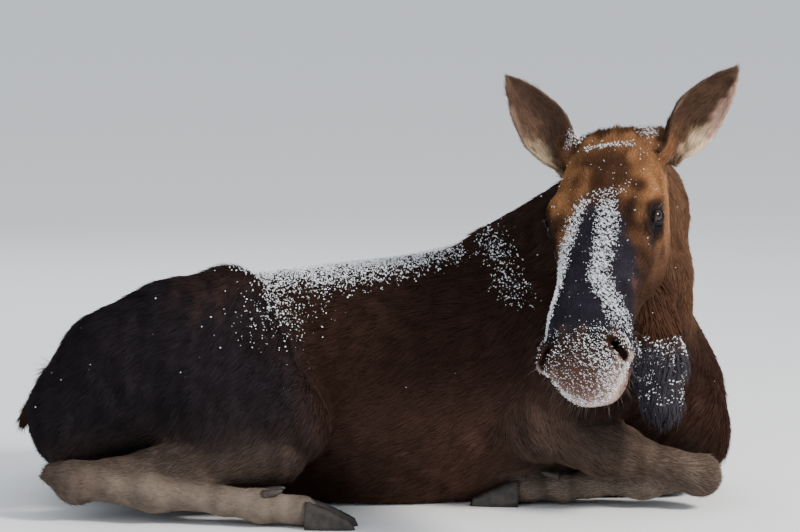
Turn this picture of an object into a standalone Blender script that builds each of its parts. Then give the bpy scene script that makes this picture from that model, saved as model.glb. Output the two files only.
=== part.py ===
"""A cow moose resting on her folded legs with her head turned to her right, life size.

The flesh is one smooth body. It is worked out as a field of distances: each bone,
muscle and fold is a rounded shape, and neighbouring shapes flow into each other. The
body is then parted with thin cuts into the head, neck, trunk, shoulders, thighs and
tail. The lower legs, hooves, ears and eyes are solids of their own. All of it is given
out to the tips of the winter coat. The moose faces +X, her left is +Y, the floor is
z = 0, and the origin is where the middle of her belly rests on the floor.
"""
import bpy
import bmesh
import numpy as np
import openvdb
from mathutils import Matrix, Vector

# ---- driving sizes, in metres ---------------------------------------------------------
GAP = 0.0005                 # clearance between neighbouring solids
LEG_GAP = 0.0015             # clearance around a folded leg in the body that it lies against
BODY_STEP = 0.014            # spacing of the body's grid
HEAD_STEP = 0.008            # spacing of the head's grid
LEG_STEP = 0.009             # spacing of the lower legs' grid
FLAT = np.radians(0.008)     # faces closer than this to one plane become one
BODY_FACES = 1650            # triangles kept on the body, before it is parted
HEAD_FACES = 1400            # triangles kept on the head
LEG_FACES = 120              # triangles kept on each length of lower leg

# The head's own axes: x from the poll to the nose, y to her left, z out of the forehead.
POLL = Vector((0.503, -0.360, 0.832))
HEAD_PITCH = np.radians(51.0)    # the nose swings forward of straight down
HEAD_TURN = np.radians(11.5)     # the nose turns past square to the body
HEAD_TILT = np.radians(-12.0)    # the head leans about its own length

# Distance along the face, then the top, the bottom and the half width there.
FACE = (
    (-0.050, -0.045, -0.130, 0.055),
    (-0.030, -0.015, -0.155, 0.078),
    (0.010, 0.002, -0.165, 0.092),
    (0.060, 0.012, -0.165, 0.106),
    (0.110, 0.016, -0.165, 0.115),
    (0.160, 0.012, -0.165, 0.120),
    (0.210, 0.002, -0.165, 0.115),
    (0.260, -0.010, -0.160, 0.102),
    (0.310, -0.016, -0.155, 0.091),
    (0.370, -0.017, -0.150, 0.086),
    (0.430, -0.009, -0.145, 0.085),
    (0.480, 0.003, -0.150, 0.085),
    (0.530, 0.006, -0.162, 0.085),
    (0.575, -0.005, -0.174, 0.085),
    (0.610, -0.028, -0.180, 0.079),
    (0.640, -0.064, -0.172, 0.060),
)
# Distance along the jaw, then its top, its bottom and its half width there.
JAW = (
    (0.080, -0.120, -0.190, 0.050),
    (0.130, -0.110, -0.235, 0.078),
    (0.200, -0.100, -0.252, 0.084),
    (0.270, -0.100, -0.245, 0.072),
    (0.340, -0.110, -0.230, 0.056),
    (0.420, -0.120, -0.220, 0.046),
    (0.500, -0.135, -0.216, 0.046),
    (0.550, -0.150, -0.216, 0.048),
    (0.582, -0.165, -0.206, 0.036),
)
EYE_AT = (0.216, 0.104, -0.057)      # centre of the left eyeball, in the head's axes
EYE_RADIUS = 0.0195
EAR_ROOT = (0.000, 0.108, -0.067)
EAR_LENGTH = 0.227
EAR_WIDTH = 0.116

# Distance along the body, then the height of the back, how low the rounded belly would
# reach if the floor did not press it flat, the half width, and how far the sides draw in
# towards the breastbone or the belly.
TRUNK = (
    (-0.750, 0.200, 0.130, 0.060, 0.10),
    (-0.710, 0.255, 0.070, 0.135, 0.10),
    (-0.620, 0.335, 0.000, 0.190, 0.10),
    (-0.500, 0.400, -0.035, 0.215, 0.10),
    (-0.400, 0.450, -0.035, 0.225, 0.10),
    (-0.300, 0.490, -0.035, 0.235, 0.10),
    (-0.200, 0.511, -0.035, 0.240, 0.10),
    (-0.050, 0.525, -0.035, 0.262, 0.12),
    (0.100, 0.545, -0.035, 0.275, 0.20),
    (0.200, 0.570, -0.035, 0.272, 0.35),
    (0.300, 0.606, -0.035, 0.255, 0.48),
    (0.400, 0.640, -0.035, 0.230, 0.55),
    (0.500, 0.650, -0.030, 0.205, 0.55),
    (0.610, 0.560, -0.015, 0.185, 0.50),
    (0.718, 0.402, 0.030, 0.150, 0.30),
    (0.790, 0.275, 0.085, 0.090, 0.20),
)
HIP_LEAN = 0.28              # she lies on her left hip: rise of the right one for its width
# ----------------------------------------------------------------------------------------

for thing in list(bpy.data.objects):
    bpy.data.objects.remove(thing, do_unlink=True)


# ---- fields: negative inside a shape, about the distance in metres outside it ----------
def rule(x, table, column):
    """A smooth curve through one column of a table, by cubic pieces with mean slopes."""
    knots = np.array([row[0] for row in table])
    values = np.array([row[column] for row in table])
    slopes = np.gradient(values, knots)
    x = np.clip(x, knots[0], knots[-1])
    i = np.clip(np.searchsorted(knots, x) - 1, 0, len(knots) - 2)
    width = knots[i + 1] - knots[i]
    t = (x - knots[i]) / width
    start = (1 + 2 * t) * (1 - t) ** 2 * values[i] + t * (1 - t) ** 2 * width * slopes[i]
    end = t * t * (3 - 2 * t) * values[i + 1] + t * t * (t - 1) * width * slopes[i + 1]
    return start + end


def section(p, table, power):
    """A body carried along x: each section is a rounded box from its top to its bottom."""
    x, y, z = p[..., 0], p[..., 1], p[..., 2]
    top, low, half = rule(x, table, 1), rule(x, table, 2), rule(x, table, 3)
    tall = (top - low) / 2
    if len(table[0]) > 4:
        below = np.clip(((top + low) / 2 - z) / tall, 0, 1)
        half = half * (1 - rule(x, table, 4) * below ** 1.5)
    reach = np.abs(y / half) ** power + np.abs((z - (top + low) / 2) / tall) ** power
    side = (reach ** (1 / power) - 1) * np.minimum(half, tall)
    ends = np.maximum(table[0][0] - x, x - table[-1][0])
    return -join(-side, -ends, 0.030)


def bone(p, start, end, r_start, r_end, squeeze=(1, 1, 1)):
    """A rod with round ends whose radius goes evenly from one end to the other."""
    squeeze = np.array(squeeze)
    a, b = np.array(start) / squeeze, np.array(end) / squeeze
    q = p / squeeze
    t = np.clip(((q - a) @ (b - a)) / ((b - a) @ (b - a)), 0, 1)
    away = np.linalg.norm(q - a - t[..., None] * (b - a), axis=-1)
    return (away - (r_start + t * (r_end - r_start))) * squeeze.min()


def muscle(p, centre, radii, turn=(0, 0, 0)):
    """An ellipsoid, turned about its own centre by angles in degrees."""
    spin = np.array(Matrix.Rotation(np.radians(turn[2]), 3, "Z")
                    @ Matrix.Rotation(np.radians(turn[1]), 3, "Y")
                    @ Matrix.Rotation(np.radians(turn[0]), 3, "X"))
    q = (p - np.array(centre)) @ spin / np.array(radii)
    size = np.linalg.norm(q, axis=-1)
    return (size - 1) * min(radii)


def join(a, b, soft):
    """The two shapes together, with a fillet about as wide as soft between them."""
    blend = np.clip(0.5 + 0.5 * (b - a) / soft, 0, 1)
    return b + (a - b) * blend - soft * blend * (1 - blend)


def carve(a, b, soft):
    """Shape a with shape b taken out of it, and the edge rounded."""
    return -join(-a, b, soft)


def mirrored(p):
    """Folds the right half onto the left, for shapes that come in pairs."""
    return np.stack([p[..., 0], np.abs(p[..., 1]), p[..., 2]], axis=-1)


# ---- the head's frame --------------------------------------------------------------------
def head_axes():
    """The head's forward, left and up directions, from its pitch, turn and tilt."""
    sp, cp, st, ct = np.sin(HEAD_PITCH), np.cos(HEAD_PITCH), np.sin(HEAD_TURN), np.cos(HEAD_TURN)
    forward = Vector((-sp * st, -sp * ct, -cp))
    up = Vector((-cp * st, -cp * ct, sp))
    left = up.cross(forward)
    st, ct = np.sin(HEAD_TILT), np.cos(HEAD_TILT)
    return forward, left * ct - up * st, up * ct + left * st


HEAD_AXES = np.array(head_axes())


def to_head(p):
    """World places in the head's own axes."""
    return (p - np.array(POLL)) @ HEAD_AXES.T


def from_head(local):
    """A place in the head's own axes, in the world."""
    return np.array(POLL) + np.array(local) @ HEAD_AXES


# ---- the flesh ---------------------------------------------------------------------------
def skull(h):
    """Forehead, brow ridges, cheeks, the long arched nose and the broad upper lip."""
    m = mirrored(h)
    d = section(h, FACE, 2.7)
    d = join(d, muscle(m, (0.205, 0.092, -0.040), (0.062, 0.036, 0.034), (0, 0, -6)), 0.020)
    d = join(d, muscle(m, (0.205, 0.062, -0.150), (0.125, 0.046, 0.085), (0, 8, -4)), 0.030)
    d = join(d, bone(m, (0.235, 0.092, -0.090), (0.370, 0.062, -0.095), 0.024, 0.020), 0.030)
    d = join(d, muscle(m, (0.570, 0.060, -0.074), (0.046, 0.032, 0.036), (0, 0, 8)), 0.018)
    d = join(d, muscle(h, (0.592, 0, -0.122), (0.056, 0.078, 0.054), (0, 12, 0)), 0.022)
    d = join(d, muscle(m, (-0.004, 0.086, -0.062), (0.042, 0.038, 0.042)), 0.030)
    d = carve(d, muscle(m, (0.224, 0.125, -0.048), (0.025, 0.016, 0.020)), 0.012)
    d = carve(d, bone(m, (0.584, 0.065, -0.030), (0.603, 0.087, -0.063), 0.008, 0.010), 0.006)
    return d


def jaw(h):
    """The lower jaw, deep at the cheek and slim at the chin, with its rounded lip."""
    d = section(h, JAW, 2.2)
    return join(d, muscle(h, (0.552, 0, -0.178), (0.036, 0.050, 0.030)), 0.02)


def neck(p):
    """A deep neck that leaves the shoulders and bends round to her right."""
    tall = (1, 1, 1.22)
    d = bone(p, (0.542, -0.285, 0.680), (0.564, -0.180, 0.637), 0.106, 0.124, tall)
    d = join(d, bone(p, (0.564, -0.180, 0.637), (0.535, -0.070, 0.560), 0.124, 0.142, tall), 0.05)
    d = join(d, bone(p, (0.535, -0.070, 0.560), (0.465, 0.010, 0.450), 0.142, 0.185, tall), 0.06)
    return join(d, bone(p, (0.625, -0.225, 0.515), (0.625, -0.060, 0.320), 0.080, 0.098), 0.06)


def bell(p):
    """The bell, a shaggy fold of skin that hangs from the throat."""
    wide = (1.22, 1, 1)
    d = bone(p, (0.586, -0.290, 0.490), (0.612, -0.350, 0.375), 0.060, 0.048, wide)
    d = join(d, bone(p, (0.590, -0.215, 0.450), (0.612, -0.325, 0.330), 0.066, 0.048), 0.05)
    return join(d, bone(p, (0.614, -0.356, 0.338), (0.617, -0.368, 0.268), 0.050, 0.047, wide), 0.04)


def shoulder(q):
    """One shoulder: the blade, the point of the shoulder and the upper arm."""
    d = bone(q, (0.420, 0.105, 0.610), (0.540, 0.165, 0.330), 0.070, 0.105, (1, 0.75, 1))
    d = join(d, bone(q, (0.545, 0.160, 0.310), (0.370, 0.205, 0.195), 0.105, 0.095, (1, 0.9, 1)), 0.05)
    return join(d, muscle(q, (0.380, 0.165, 0.330), (0.150, 0.095, 0.170), (0, 20, 0)), 0.05)


def thigh(q):
    """One thigh: the hip, the broad haunch, the knee and the ham behind it."""
    d = muscle(q, (-0.375, 0.215, 0.286), (0.225, 0.125, 0.178), (0, -12, 0))
    d = join(d, bone(q, (-0.285, 0.182, 0.406), (-0.180, 0.270, 0.205), 0.082, 0.090), 0.05)
    d = join(d, bone(q, (-0.430, 0.215, 0.272), (-0.545, 0.222, 0.243), 0.144, 0.126), 0.06)
    d = join(d, bone(q, (-0.545, 0.222, 0.243), (-0.632, 0.232, 0.180), 0.126, 0.108), 0.05)
    return join(d, bone(q, (-0.180, 0.270, 0.200), (-0.330, 0.275, 0.150), 0.095, 0.110), 0.05)


def leaning(p):
    """Places as they would be if both hips were level: behind the loin she leans to her left."""
    behind = np.clip((-0.05 - p[..., 0]) / 0.30, 0, 1)
    off_floor = np.clip(p[..., 2] / 0.40, 0, 1)
    shift = HIP_LEAN * behind * behind * (3 - 2 * behind) * off_floor * p[..., 1]
    return np.stack([p[..., 0], p[..., 1], p[..., 2] + shift], axis=-1)


def flesh(p):
    """The whole body without its lower legs, ears and eyes."""
    q, h, hips = mirrored(p), to_head(p), leaning(p)
    d = section(hips, TRUNK, 2.3)
    d = join(d, bone(p, (0.300, 0, 0.530), (0.480, -0.010, 0.620), 0.085, 0.100), 0.06)
    d = join(d, shoulder(q), 0.05)
    d = join(d, thigh(mirrored(hips)), 0.035)
    d = join(d, neck(p), 0.06)
    d = join(d, bone(p, (0.615, 0, 0.300), (0.682, 0, 0.150), 0.085, 0.112), 0.06)
    d = join(d, bell(p), 0.025)
    d = join(d, join(skull(h), jaw(h), 0.016), 0.035)
    return join(d, bone(p, (-0.700, 0, 0.262), (-0.762, 0, 0.175), 0.038, 0.026), 0.02)


# ---- from a field to a solid -------------------------------------------------------------
def mesh_of(field, low, high, step):
    """The closed surface where a field crosses zero, read on a grid of the given step."""
    axes = [np.arange(a, b + step, step) for a, b in zip(low, high)]
    places = np.stack(np.meshgrid(*axes, indexing="ij"), axis=-1)
    values = (field(places) / step).astype(np.float32)
    volume = openvdb.FloatGrid(3.0)
    volume.copyFromArray(np.clip(values, -3, 3))
    points, triangles, quads = volume.convertToPolygons(isovalue=0.0, adaptivity=0.0)
    mesh = bpy.data.meshes.new("surface")
    faces = [tuple(f) for f in triangles.tolist()] + [tuple(f) for f in quads.tolist()]
    mesh.from_pydata((points * step + np.array(low)).tolist(), [], faces)
    return mesh


def solid(name, mesh):
    """An object with this mesh, its faces pointing outwards."""
    work = bmesh.new()
    work.from_mesh(mesh)
    bmesh.ops.recalc_face_normals(work, faces=work.faces)
    if work.calc_volume(signed=True) < 0:
        bmesh.ops.reverse_faces(work, faces=work.faces)
    work.to_mesh(mesh)
    work.free()
    body = bpy.data.objects.new(name, mesh)
    bpy.context.scene.collection.objects.link(body)
    return body


def settle(body):
    """Applies an object's modifiers and makes its mesh plain triangles."""
    depsgraph = bpy.context.evaluated_depsgraph_get()
    mesh = bpy.data.meshes.new_from_object(body.evaluated_get(depsgraph))
    body.modifiers.clear()
    work = bmesh.new()
    work.from_mesh(mesh)
    bmesh.ops.dissolve_limit(work, angle_limit=FLAT, verts=work.verts, edges=work.edges,
                             use_dissolve_boundaries=False)
    bmesh.ops.triangulate(work, faces=work.faces)
    bmesh.ops.dissolve_degenerate(work, dist=1e-6, edges=work.edges)
    bmesh.ops.triangulate(work, faces=work.faces)
    work.to_mesh(mesh)
    work.free()
    body.data = mesh
    return body


def thin_out(body, faces):
    """Fewer, larger triangles where the surface is nearly flat."""
    body.data.calc_loop_triangles()
    share = faces / len(body.data.loop_triangles)
    collapse = body.modifiers.new("fewer", "DECIMATE")
    collapse.ratio = min(1.0, share)
    collapse.use_collapse_triangulate = True
    return settle(body)


def boolean(body, tool, operation):
    """The body with another solid taken away from it, or kept only inside it."""
    cut = body.modifiers.new("cut", "BOOLEAN")
    cut.operation = operation
    cut.solver = "EXACT"
    cut.object = tool
    return settle(body)


def discard(thing):
    bpy.data.objects.remove(thing, do_unlink=True)


def slab(centre, axes, size):
    """A box with its middle at centre, turned to the given axes."""
    half = np.array(size) / 2
    corners = [np.array(centre) + np.array((i, j, k)) * half @ np.array(axes)
               for i in (-1, 1) for j in (-1, 1) for k in (-1, 1)]
    faces = ((0, 1, 3, 2), (4, 6, 7, 5), (0, 4, 5, 1), (2, 3, 7, 6), (0, 2, 6, 4), (1, 5, 7, 3))
    mesh = bpy.data.meshes.new("slab")
    mesh.from_pydata([tuple(c) for c in corners], [], faces)
    return solid("slab", mesh)


def swollen(body, by=GAP):
    """A copy of a solid grown outwards by the gap, to cut its bed in a neighbour."""
    mesh = body.data.copy()
    count = len(mesh.vertices)
    places, normals = np.empty(count * 3), np.empty(count * 3)
    mesh.vertices.foreach_get("co", places)
    mesh.vertex_normals.foreach_get("vector", normals)
    mesh.vertices.foreach_set("co", places + normals * by)
    return solid("swollen", mesh)


def bed(body, other, gap=GAP):
    """Makes room in a body for a solid that lies in it or against it."""
    grown = swollen(other, gap)
    boolean(body, grown, "DIFFERENCE")
    discard(grown)
    return largest(body)


def pieces_of(body):
    """The separate closed pieces of an object's mesh, as objects, largest first."""
    work = bmesh.new()
    work.from_mesh(body.data)
    left = set(work.verts)
    groups = []
    while left:
        group, front = set(), [left.pop()]
        while front:
            vert = front.pop()
            group.add(vert)
            near = {e.other_vert(vert) for e in vert.link_edges} & left
            left -= near
            front.extend(near)
        groups.append({v.index for v in group})
    work.free()
    found = []
    for group in sorted(groups, key=len, reverse=True):
        order = {old: new for new, old in enumerate(sorted(group))}
        mesh = bpy.data.meshes.new("piece")
        mesh.from_pydata([body.data.vertices[i].co[:] for i in order], [],
                         [tuple(order[v] for v in f.vertices) for f in body.data.polygons
                          if f.vertices[0] in order])
        found.append(solid("piece", mesh))
    return found


def largest(body):
    """Keeps the largest piece of a solid and drops the slivers that a cut leaves."""
    found = pieces_of(body)
    body.data = found[0].data
    for piece in found:
        discard(piece)
    return body


def on_floor(body):
    """Cuts a solid level with the floor, so that it rests on a flat."""
    low = slab((0, 0, -0.5), np.eye(3), (4, 4, 1))
    boolean(body, low, "DIFFERENCE")
    discard(low)
    return largest(body)


def finish(body, name, colour, roughness):
    """Names a node and gives it a material of its own."""
    body.name = name
    body.data.name = name
    skin = bpy.data.materials.new(name)
    skin.use_nodes = True
    shader = skin.node_tree.nodes["Principled BSDF"]
    shader.inputs["Base Color"].default_value = (*colour, 1)
    shader.inputs["Roughness"].default_value = roughness
    shader.inputs["Metallic"].default_value = 0.0
    body.data.materials.clear()
    body.data.materials.append(skin)
    body.data.shade_smooth()
    body.data.set_sharp_from_angle(angle=np.radians(50))
    return body


BODY_BROWN = (0.045, 0.024, 0.016)
FACE_BROWN = (0.130, 0.058, 0.028)
LEG_GREY = (0.180, 0.140, 0.110)
HOOF_BLACK = (0.020, 0.018, 0.017)
EYE_BLACK = (0.010, 0.007, 0.006)


# ---- lower legs --------------------------------------------------------------------------
# Each joint's place on the left side, and the leg's half thickness there.
FORE_JOINTS = {
    "elbow": ((0.365, 0.225, 0.185), 0.070),
    "knee": ((0.715, 0.190, 0.078), 0.052),
    "fetlock": ((0.425, 0.125, 0.042), 0.038),
    "foot": ((0.335, 0.120, 0.036), 0.034),
}
HIND_JOINTS = {
    "stifle": ((-0.200, 0.290, 0.150), 0.080),
    "hock": ((-0.620, 0.330, 0.085), 0.052),
    "fetlock": ((-0.230, 0.385, 0.045), 0.040),
    "foot": ((-0.140, 0.395, 0.036), 0.035),
}
HOCK_POINT = ((-0.668, 0.325, 0.100), 0.032)      # the heel bone, behind the hock
HOOF_LENGTH = 0.105
HOOF_HEIGHT = 0.062
HOOF_WIDTH = 0.042
HOOF_SIDES = 8
DEWCLAW_LENGTH = 0.040


def side_of(place, side):
    return (place[0], place[1] * side, place[2])


def leg_length(joints, upper, lower, side, bulge=0.0, extra=None, fit=1.0):
    """One length of leg between two joints, with a bulge of muscle near its upper end."""
    (start, r_start), (end, r_end) = joints[upper], joints[lower]
    start, end = side_of(start, side), side_of(end, side)
    shaft = 0.72 * min(r_start, r_end)

    def field(p):
        a, b = np.array(start), np.array(end)
        upper_mid, lower_mid = a + 0.42 * (b - a), a + 0.80 * (b - a)
        d = bone(p, a, upper_mid, r_start * fit, max(shaft, r_start * 0.78) + bulge)
        d = join(d, bone(p, upper_mid, lower_mid, max(shaft, r_start * 0.78) + bulge, shaft), 0.03)
        d = join(d, bone(p, lower_mid, b, shaft, r_end), 0.03)
        if extra is not None:
            spur, r_spur = extra
            d = join(d, bone(p, b, side_of(spur, side), r_end * 0.8, r_spur), 0.02)
        return d

    points = [start, end] + ([side_of(extra[0], side)] if extra is not None else [])
    room = max(r_start, r_end) + bulge + 0.03
    low = np.min(points, axis=0) - room
    high = np.max(points, axis=0) + room
    return thin_out(solid("leg", mesh_of(field, low, high, LEG_STEP)), LEG_FACES)


def hoof(root, tip, width, height, lean):
    """One claw of a hoof: a wedge with a round front, from its hairline to its toe."""
    along = Vector(tip) - Vector(root)
    length = along.length
    forward = Vector((along.x, along.y, 0)).normalized()
    across = Vector((0, 0, 1)).cross(forward)
    rings = []
    for share in np.linspace(0, 1, 5):
        tall = height * (1 - 0.72 * share ** 1.3)
        wide = width * (1 - 0.62 * share ** 2.2)
        centre = Vector(root) + forward * (length * share) + across * (lean * share ** 2)
        ring = []
        for turn in np.linspace(0, 2 * np.pi, HOOF_SIDES, endpoint=False):
            y = np.sign(np.cos(turn)) * abs(np.cos(turn)) ** 0.8 * wide / 2
            z = max(0.0, np.sin(turn)) ** 0.9 * tall
            ring.append(centre + across * y + Vector((0, 0, z)))
        rings.append(ring)
    work = bmesh.new()
    grid = [[work.verts.new(point) for point in ring] for ring in rings]
    for near, far in zip(grid, grid[1:]):
        for i in range(HOOF_SIDES):
            j = (i + 1) % HOOF_SIDES
            work.faces.new((near[i], near[j], far[j], far[i]))
    work.faces.new(grid[0])
    work.faces.new(reversed(grid[-1]))
    bmesh.ops.remove_doubles(work, verts=work.verts, dist=1e-5)
    bmesh.ops.dissolve_degenerate(work, dist=1e-6, edges=work.edges)
    bmesh.ops.triangulate(work, faces=work.faces)
    mesh = bpy.data.meshes.new("hoof")
    work.to_mesh(mesh)
    work.free()
    return solid("hoof", mesh)


def claw_pair(foot, side):
    """The two claws of a foot, lying side by side in front of its last joint."""
    (start, _), (end, _) = foot["fetlock"], foot["foot"]
    start, end = Vector(side_of(start, side)), Vector(side_of(end, side))
    forward = Vector((end.x - start.x, end.y - start.y, 0)).normalized()
    across = Vector((0, 0, 1)).cross(forward)
    claws = []
    for place in (-1, 1):
        root = Vector((end.x, end.y, 0)) + across * place * (HOOF_WIDTH / 2 + GAP)
        root += forward * 0.010
        tip = root + forward * HOOF_LENGTH
        claws.append(on_floor(hoof(root - Vector((0, 0, 0.004)), tip, HOOF_WIDTH - GAP,
                                   HOOF_HEIGHT, place * 0.004)))
    return claws


def dewclaw_pair(foot, side):
    """The two small claws that stand behind the fetlock."""
    (start, thick), (end, _) = foot["fetlock"], foot["foot"]
    start, end = Vector(side_of(start, side)), Vector(side_of(end, side))
    forward = Vector((end.x - start.x, end.y - start.y, 0)).normalized()
    across = Vector((0, 0, 1)).cross(forward)
    claws = []
    for place in (-1, 1):
        root = start + across * place * 0.020 + Vector((0, 0, thick * 0.62)) + forward * 0.012
        tip = root + forward * DEWCLAW_LENGTH + Vector((0, 0, 0.010))
        work = bmesh.new()
        bmesh.ops.create_cone(work, cap_ends=True, cap_tris=True, segments=6, radius1=0.0115,
                              radius2=0.005, depth=(tip - root).length)
        turn = (tip - root).to_track_quat("Z", "Y").to_matrix().to_4x4()
        work.transform(Matrix.Translation((root + tip) / 2) @ turn)
        bmesh.ops.triangulate(work, faces=work.faces)
        mesh = bpy.data.meshes.new("dewclaw")
        work.to_mesh(mesh)
        work.free()
        claws.append(solid("dewclaw", mesh))
    return claws


# ---- ears and eyes -----------------------------------------------------------------------
# Which way each ear points and which way its opening faces, in the world.
EARS = {
    "left": (1, Vector((0.655, 0.10, 0.745)), Vector((0.22, -0.95, -0.10))),
    "right": (-1, Vector((-0.58, 0.14, 0.80)), Vector((-0.10, -0.98, -0.02))),
}
EAR_WALL = 0.010


def ear(side, along, facing):
    """A cupped leaf: a rolled tube at its root that opens out and closes to a soft point."""
    along = along.normalized()
    across = facing.cross(along).normalized()
    facing = along.cross(across).normalized()
    root = Vector(from_head((EAR_ROOT[0], EAR_ROOT[1] * side, EAR_ROOT[2])))
    rows, columns = 11, 7
    s = np.linspace(0, 1, rows)[:, None]
    t = np.linspace(-1, 1, columns)[None, :]
    half = EAR_WIDTH / 2 * (0.55 + 0.45 * np.sin(np.pi * np.clip(s / 0.40, 0, 1) / 2))
    half = half * np.clip(1 - (np.clip(s - 0.30, 0, 1) / 0.70) ** 1.9, 0.05, 1) ** 0.85
    roll = np.radians(120 - 62 * np.clip(s / 0.40, 0, 1) ** 0.8)
    radius = half / np.sin(np.minimum(roll, np.pi / 2))
    angle = t * roll
    sheets = []
    for wall in (0.0, EAR_WALL):
        reach = radius - wall * np.sqrt(np.clip(1 - s ** 6, 0.05, 1))
        x = reach * np.sin(angle)
        depth = radius - reach * np.cos(angle)
        y = np.broadcast_to(s * EAR_LENGTH, x.shape)
        bow = -0.020 * np.sin(np.pi * s) + 0.0 * t
        place = (np.array(root) + x[..., None] * np.array(across)
                 + y[..., None] * np.array(along) + (depth + bow)[..., None] * np.array(facing))
        sheets.append(place)
    outer, inner = sheets
    work = bmesh.new()
    grid = [[[work.verts.new(p) for p in row] for row in sheet] for sheet in (outer, inner)]
    for layer in grid:
        for i in range(rows - 1):
            for j in range(columns - 1):
                work.faces.new((layer[i][j], layer[i][j + 1], layer[i + 1][j + 1], layer[i + 1][j]))
    rim = ([(i, 0) for i in range(rows)] + [(rows - 1, j) for j in range(1, columns)]
           + [(i, columns - 1) for i in range(rows - 2, -1, -1)]
           + [(0, j) for j in range(columns - 2, 0, -1)])
    for (a, b), (c, d) in zip(rim, rim[1:] + rim[:1]):
        work.faces.new((grid[0][a][b], grid[0][c][d], grid[1][c][d], grid[1][a][b]))
    bmesh.ops.triangulate(work, faces=work.faces)
    mesh = bpy.data.meshes.new("ear")
    work.to_mesh(mesh)
    work.free()
    return solid("ear", mesh)


def eyeball(side):
    """A ball set in the orbit."""
    work = bmesh.new()
    bmesh.ops.create_icosphere(work, subdivisions=2, radius=EYE_RADIUS)
    centre = Vector(from_head((EYE_AT[0], EYE_AT[1] * side, EYE_AT[2])))
    work.transform(Matrix.Translation(centre))
    mesh = bpy.data.meshes.new("eye")
    work.to_mesh(mesh)
    work.free()
    return solid("eye", mesh)


# ---- parting the body --------------------------------------------------------------------
def prism(outline, half, frame, origin):
    """An outline in the first and third axes of a frame, carried along its second axis."""
    count = len(outline)
    corners = [np.array(origin) + np.array((x, y, z)) @ np.array(frame)
               for y in (-half, half) for x, z in outline]
    mesh = bpy.data.meshes.new("prism")
    sides = [(i, (i + 1) % count, count + (i + 1) % count, count + i) for i in range(count)]
    ends = [tuple(range(count)), tuple(range(2 * count - 1, count - 1, -1))]
    mesh.from_pydata([tuple(c) for c in corners], [], sides + ends)
    return solid("prism", mesh)


def egg(centre, radii, turn=(0, 0, 0)):
    """An ellipsoid to part a body with, turned about its own centre, in degrees."""
    work = bmesh.new()
    bmesh.ops.create_icosphere(work, subdivisions=2, radius=1.0)
    spin = (Matrix.Rotation(np.radians(turn[2]), 4, "Z") @ Matrix.Rotation(np.radians(turn[1]), 4, "Y")
            @ Matrix.Rotation(np.radians(turn[0]), 4, "X"))
    work.transform(Matrix.Translation(centre) @ spin @ Matrix.Diagonal((*radii, 1)))
    mesh = bpy.data.meshes.new("egg")
    work.to_mesh(mesh)
    work.free()
    return solid("egg", mesh)


def part(body, tool):
    """Parts a body with a thin cut along a tool: the piece inside it, and what is left."""
    inside = bpy.data.objects.new("inside", body.data.copy())
    bpy.context.scene.collection.objects.link(inside)
    boolean(inside, tool, "INTERSECT")
    grown = swollen(tool)
    boolean(body, grown, "DIFFERENCE")
    discard(grown)
    discard(tool)
    return largest(inside), largest(body)


HEAD_SIDE = ((0.120, -0.285), (0.900, -0.285), (0.900, 0.300), (-0.270, 0.300))
JAW_SIDE = ((0.415, -0.400), (0.900, -0.400), (0.900, -0.168), (0.640, -0.160), (0.560, -0.156),
            (0.470, -0.146), (0.415, -0.138))
NECK_ROOT = Vector((0.530, -0.060, 0.500))
NECK_AXES = Vector((0.62, -0.60, 0.50)).to_track_quat("X", "Z").to_matrix().transposed()

body = thin_out(solid("body", mesh_of(flesh, (-0.90, -0.62, -0.08), (0.98, 0.48, 0.95), BODY_STEP)),
                BODY_FACES)

head = mesh_of(lambda h: flesh(from_head(h)), (-0.16, -0.22, -0.36), (0.70, 0.22, 0.09), HEAD_STEP)
for corner in head.vertices:
    corner.co = from_head(corner.co[:])
head = thin_out(solid("head", head), HEAD_FACES)

front = prism(HEAD_SIDE, 0.20, HEAD_AXES, POLL)
boolean(head, front, "INTERSECT")
largest(head)
grown = swollen(front)
boolean(body, grown, "DIFFERENCE")
discard(grown)
discard(front)
largest(body)

eyes, ears = {}, {}
for name, (side, along, facing) in EARS.items():
    eyes[name] = eyeball(side)
    ears[name] = ear(side, along, facing)
    bed(head, eyes[name])
    bed(head, ears[name])
lower_jaw, head = part(head, prism(JAW_SIDE, 0.30, HEAD_AXES, POLL))

finish(head, "head", FACE_BROWN, 0.80)
finish(lower_jaw, "lower_jaw", BODY_BROWN, 0.85)
for name in EARS:
    finish(eyes[name], f"eye_{name}", EYE_BLACK, 0.08)
    finish(ears[name], f"ear_{name}", FACE_BROWN, 0.85)

for name, side in (("left", 1), ("right", -1)):
    legs = {}
    for limb, joints in (("fore", FORE_JOINTS), ("hind", HIND_JOINTS)):
        top, middle = list(joints)[:2]
        upper = on_floor(leg_length(joints, top, middle, side, bulge=0.012,
                                    extra=HOCK_POINT if limb == "hind" else None))
        lower = leg_length(joints, middle, "fetlock", side, extra=joints["foot"], fit=0.72)
        bed(body, lower, LEG_GAP)
        bed(body, upper, LEG_GAP)
        claws = claw_pair(joints, side) + dewclaw_pair(joints, side)
        on_floor(lower)
        for claw in claws:
            bed(body, claw)
            bed(lower, claw)
        bed(lower, upper)
        legs[limb] = (upper, lower)
        for kind, pair in (("hoof", claws[:2]), ("dewclaw", claws[2:])):
            pair.sort(key=lambda claw: abs(sum(corner.co.y for corner in claw.data.vertices)
                                           / len(claw.data.vertices)))
            for claw, place in zip(pair, ("inner", "outer")):
                finish(claw, f"{limb}_{kind}_{name}_{place}", HOOF_BLACK, 0.45)
    finish(legs["fore"][0], f"forearm_{name}", BODY_BROWN, 0.85)
    finish(legs["fore"][1], f"fore_cannon_{name}", LEG_GREY, 0.85)
    finish(legs["hind"][0], f"hind_shank_{name}", BODY_BROWN, 0.85)
    finish(legs["hind"][1], f"hind_cannon_{name}", LEG_GREY, 0.85)

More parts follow.
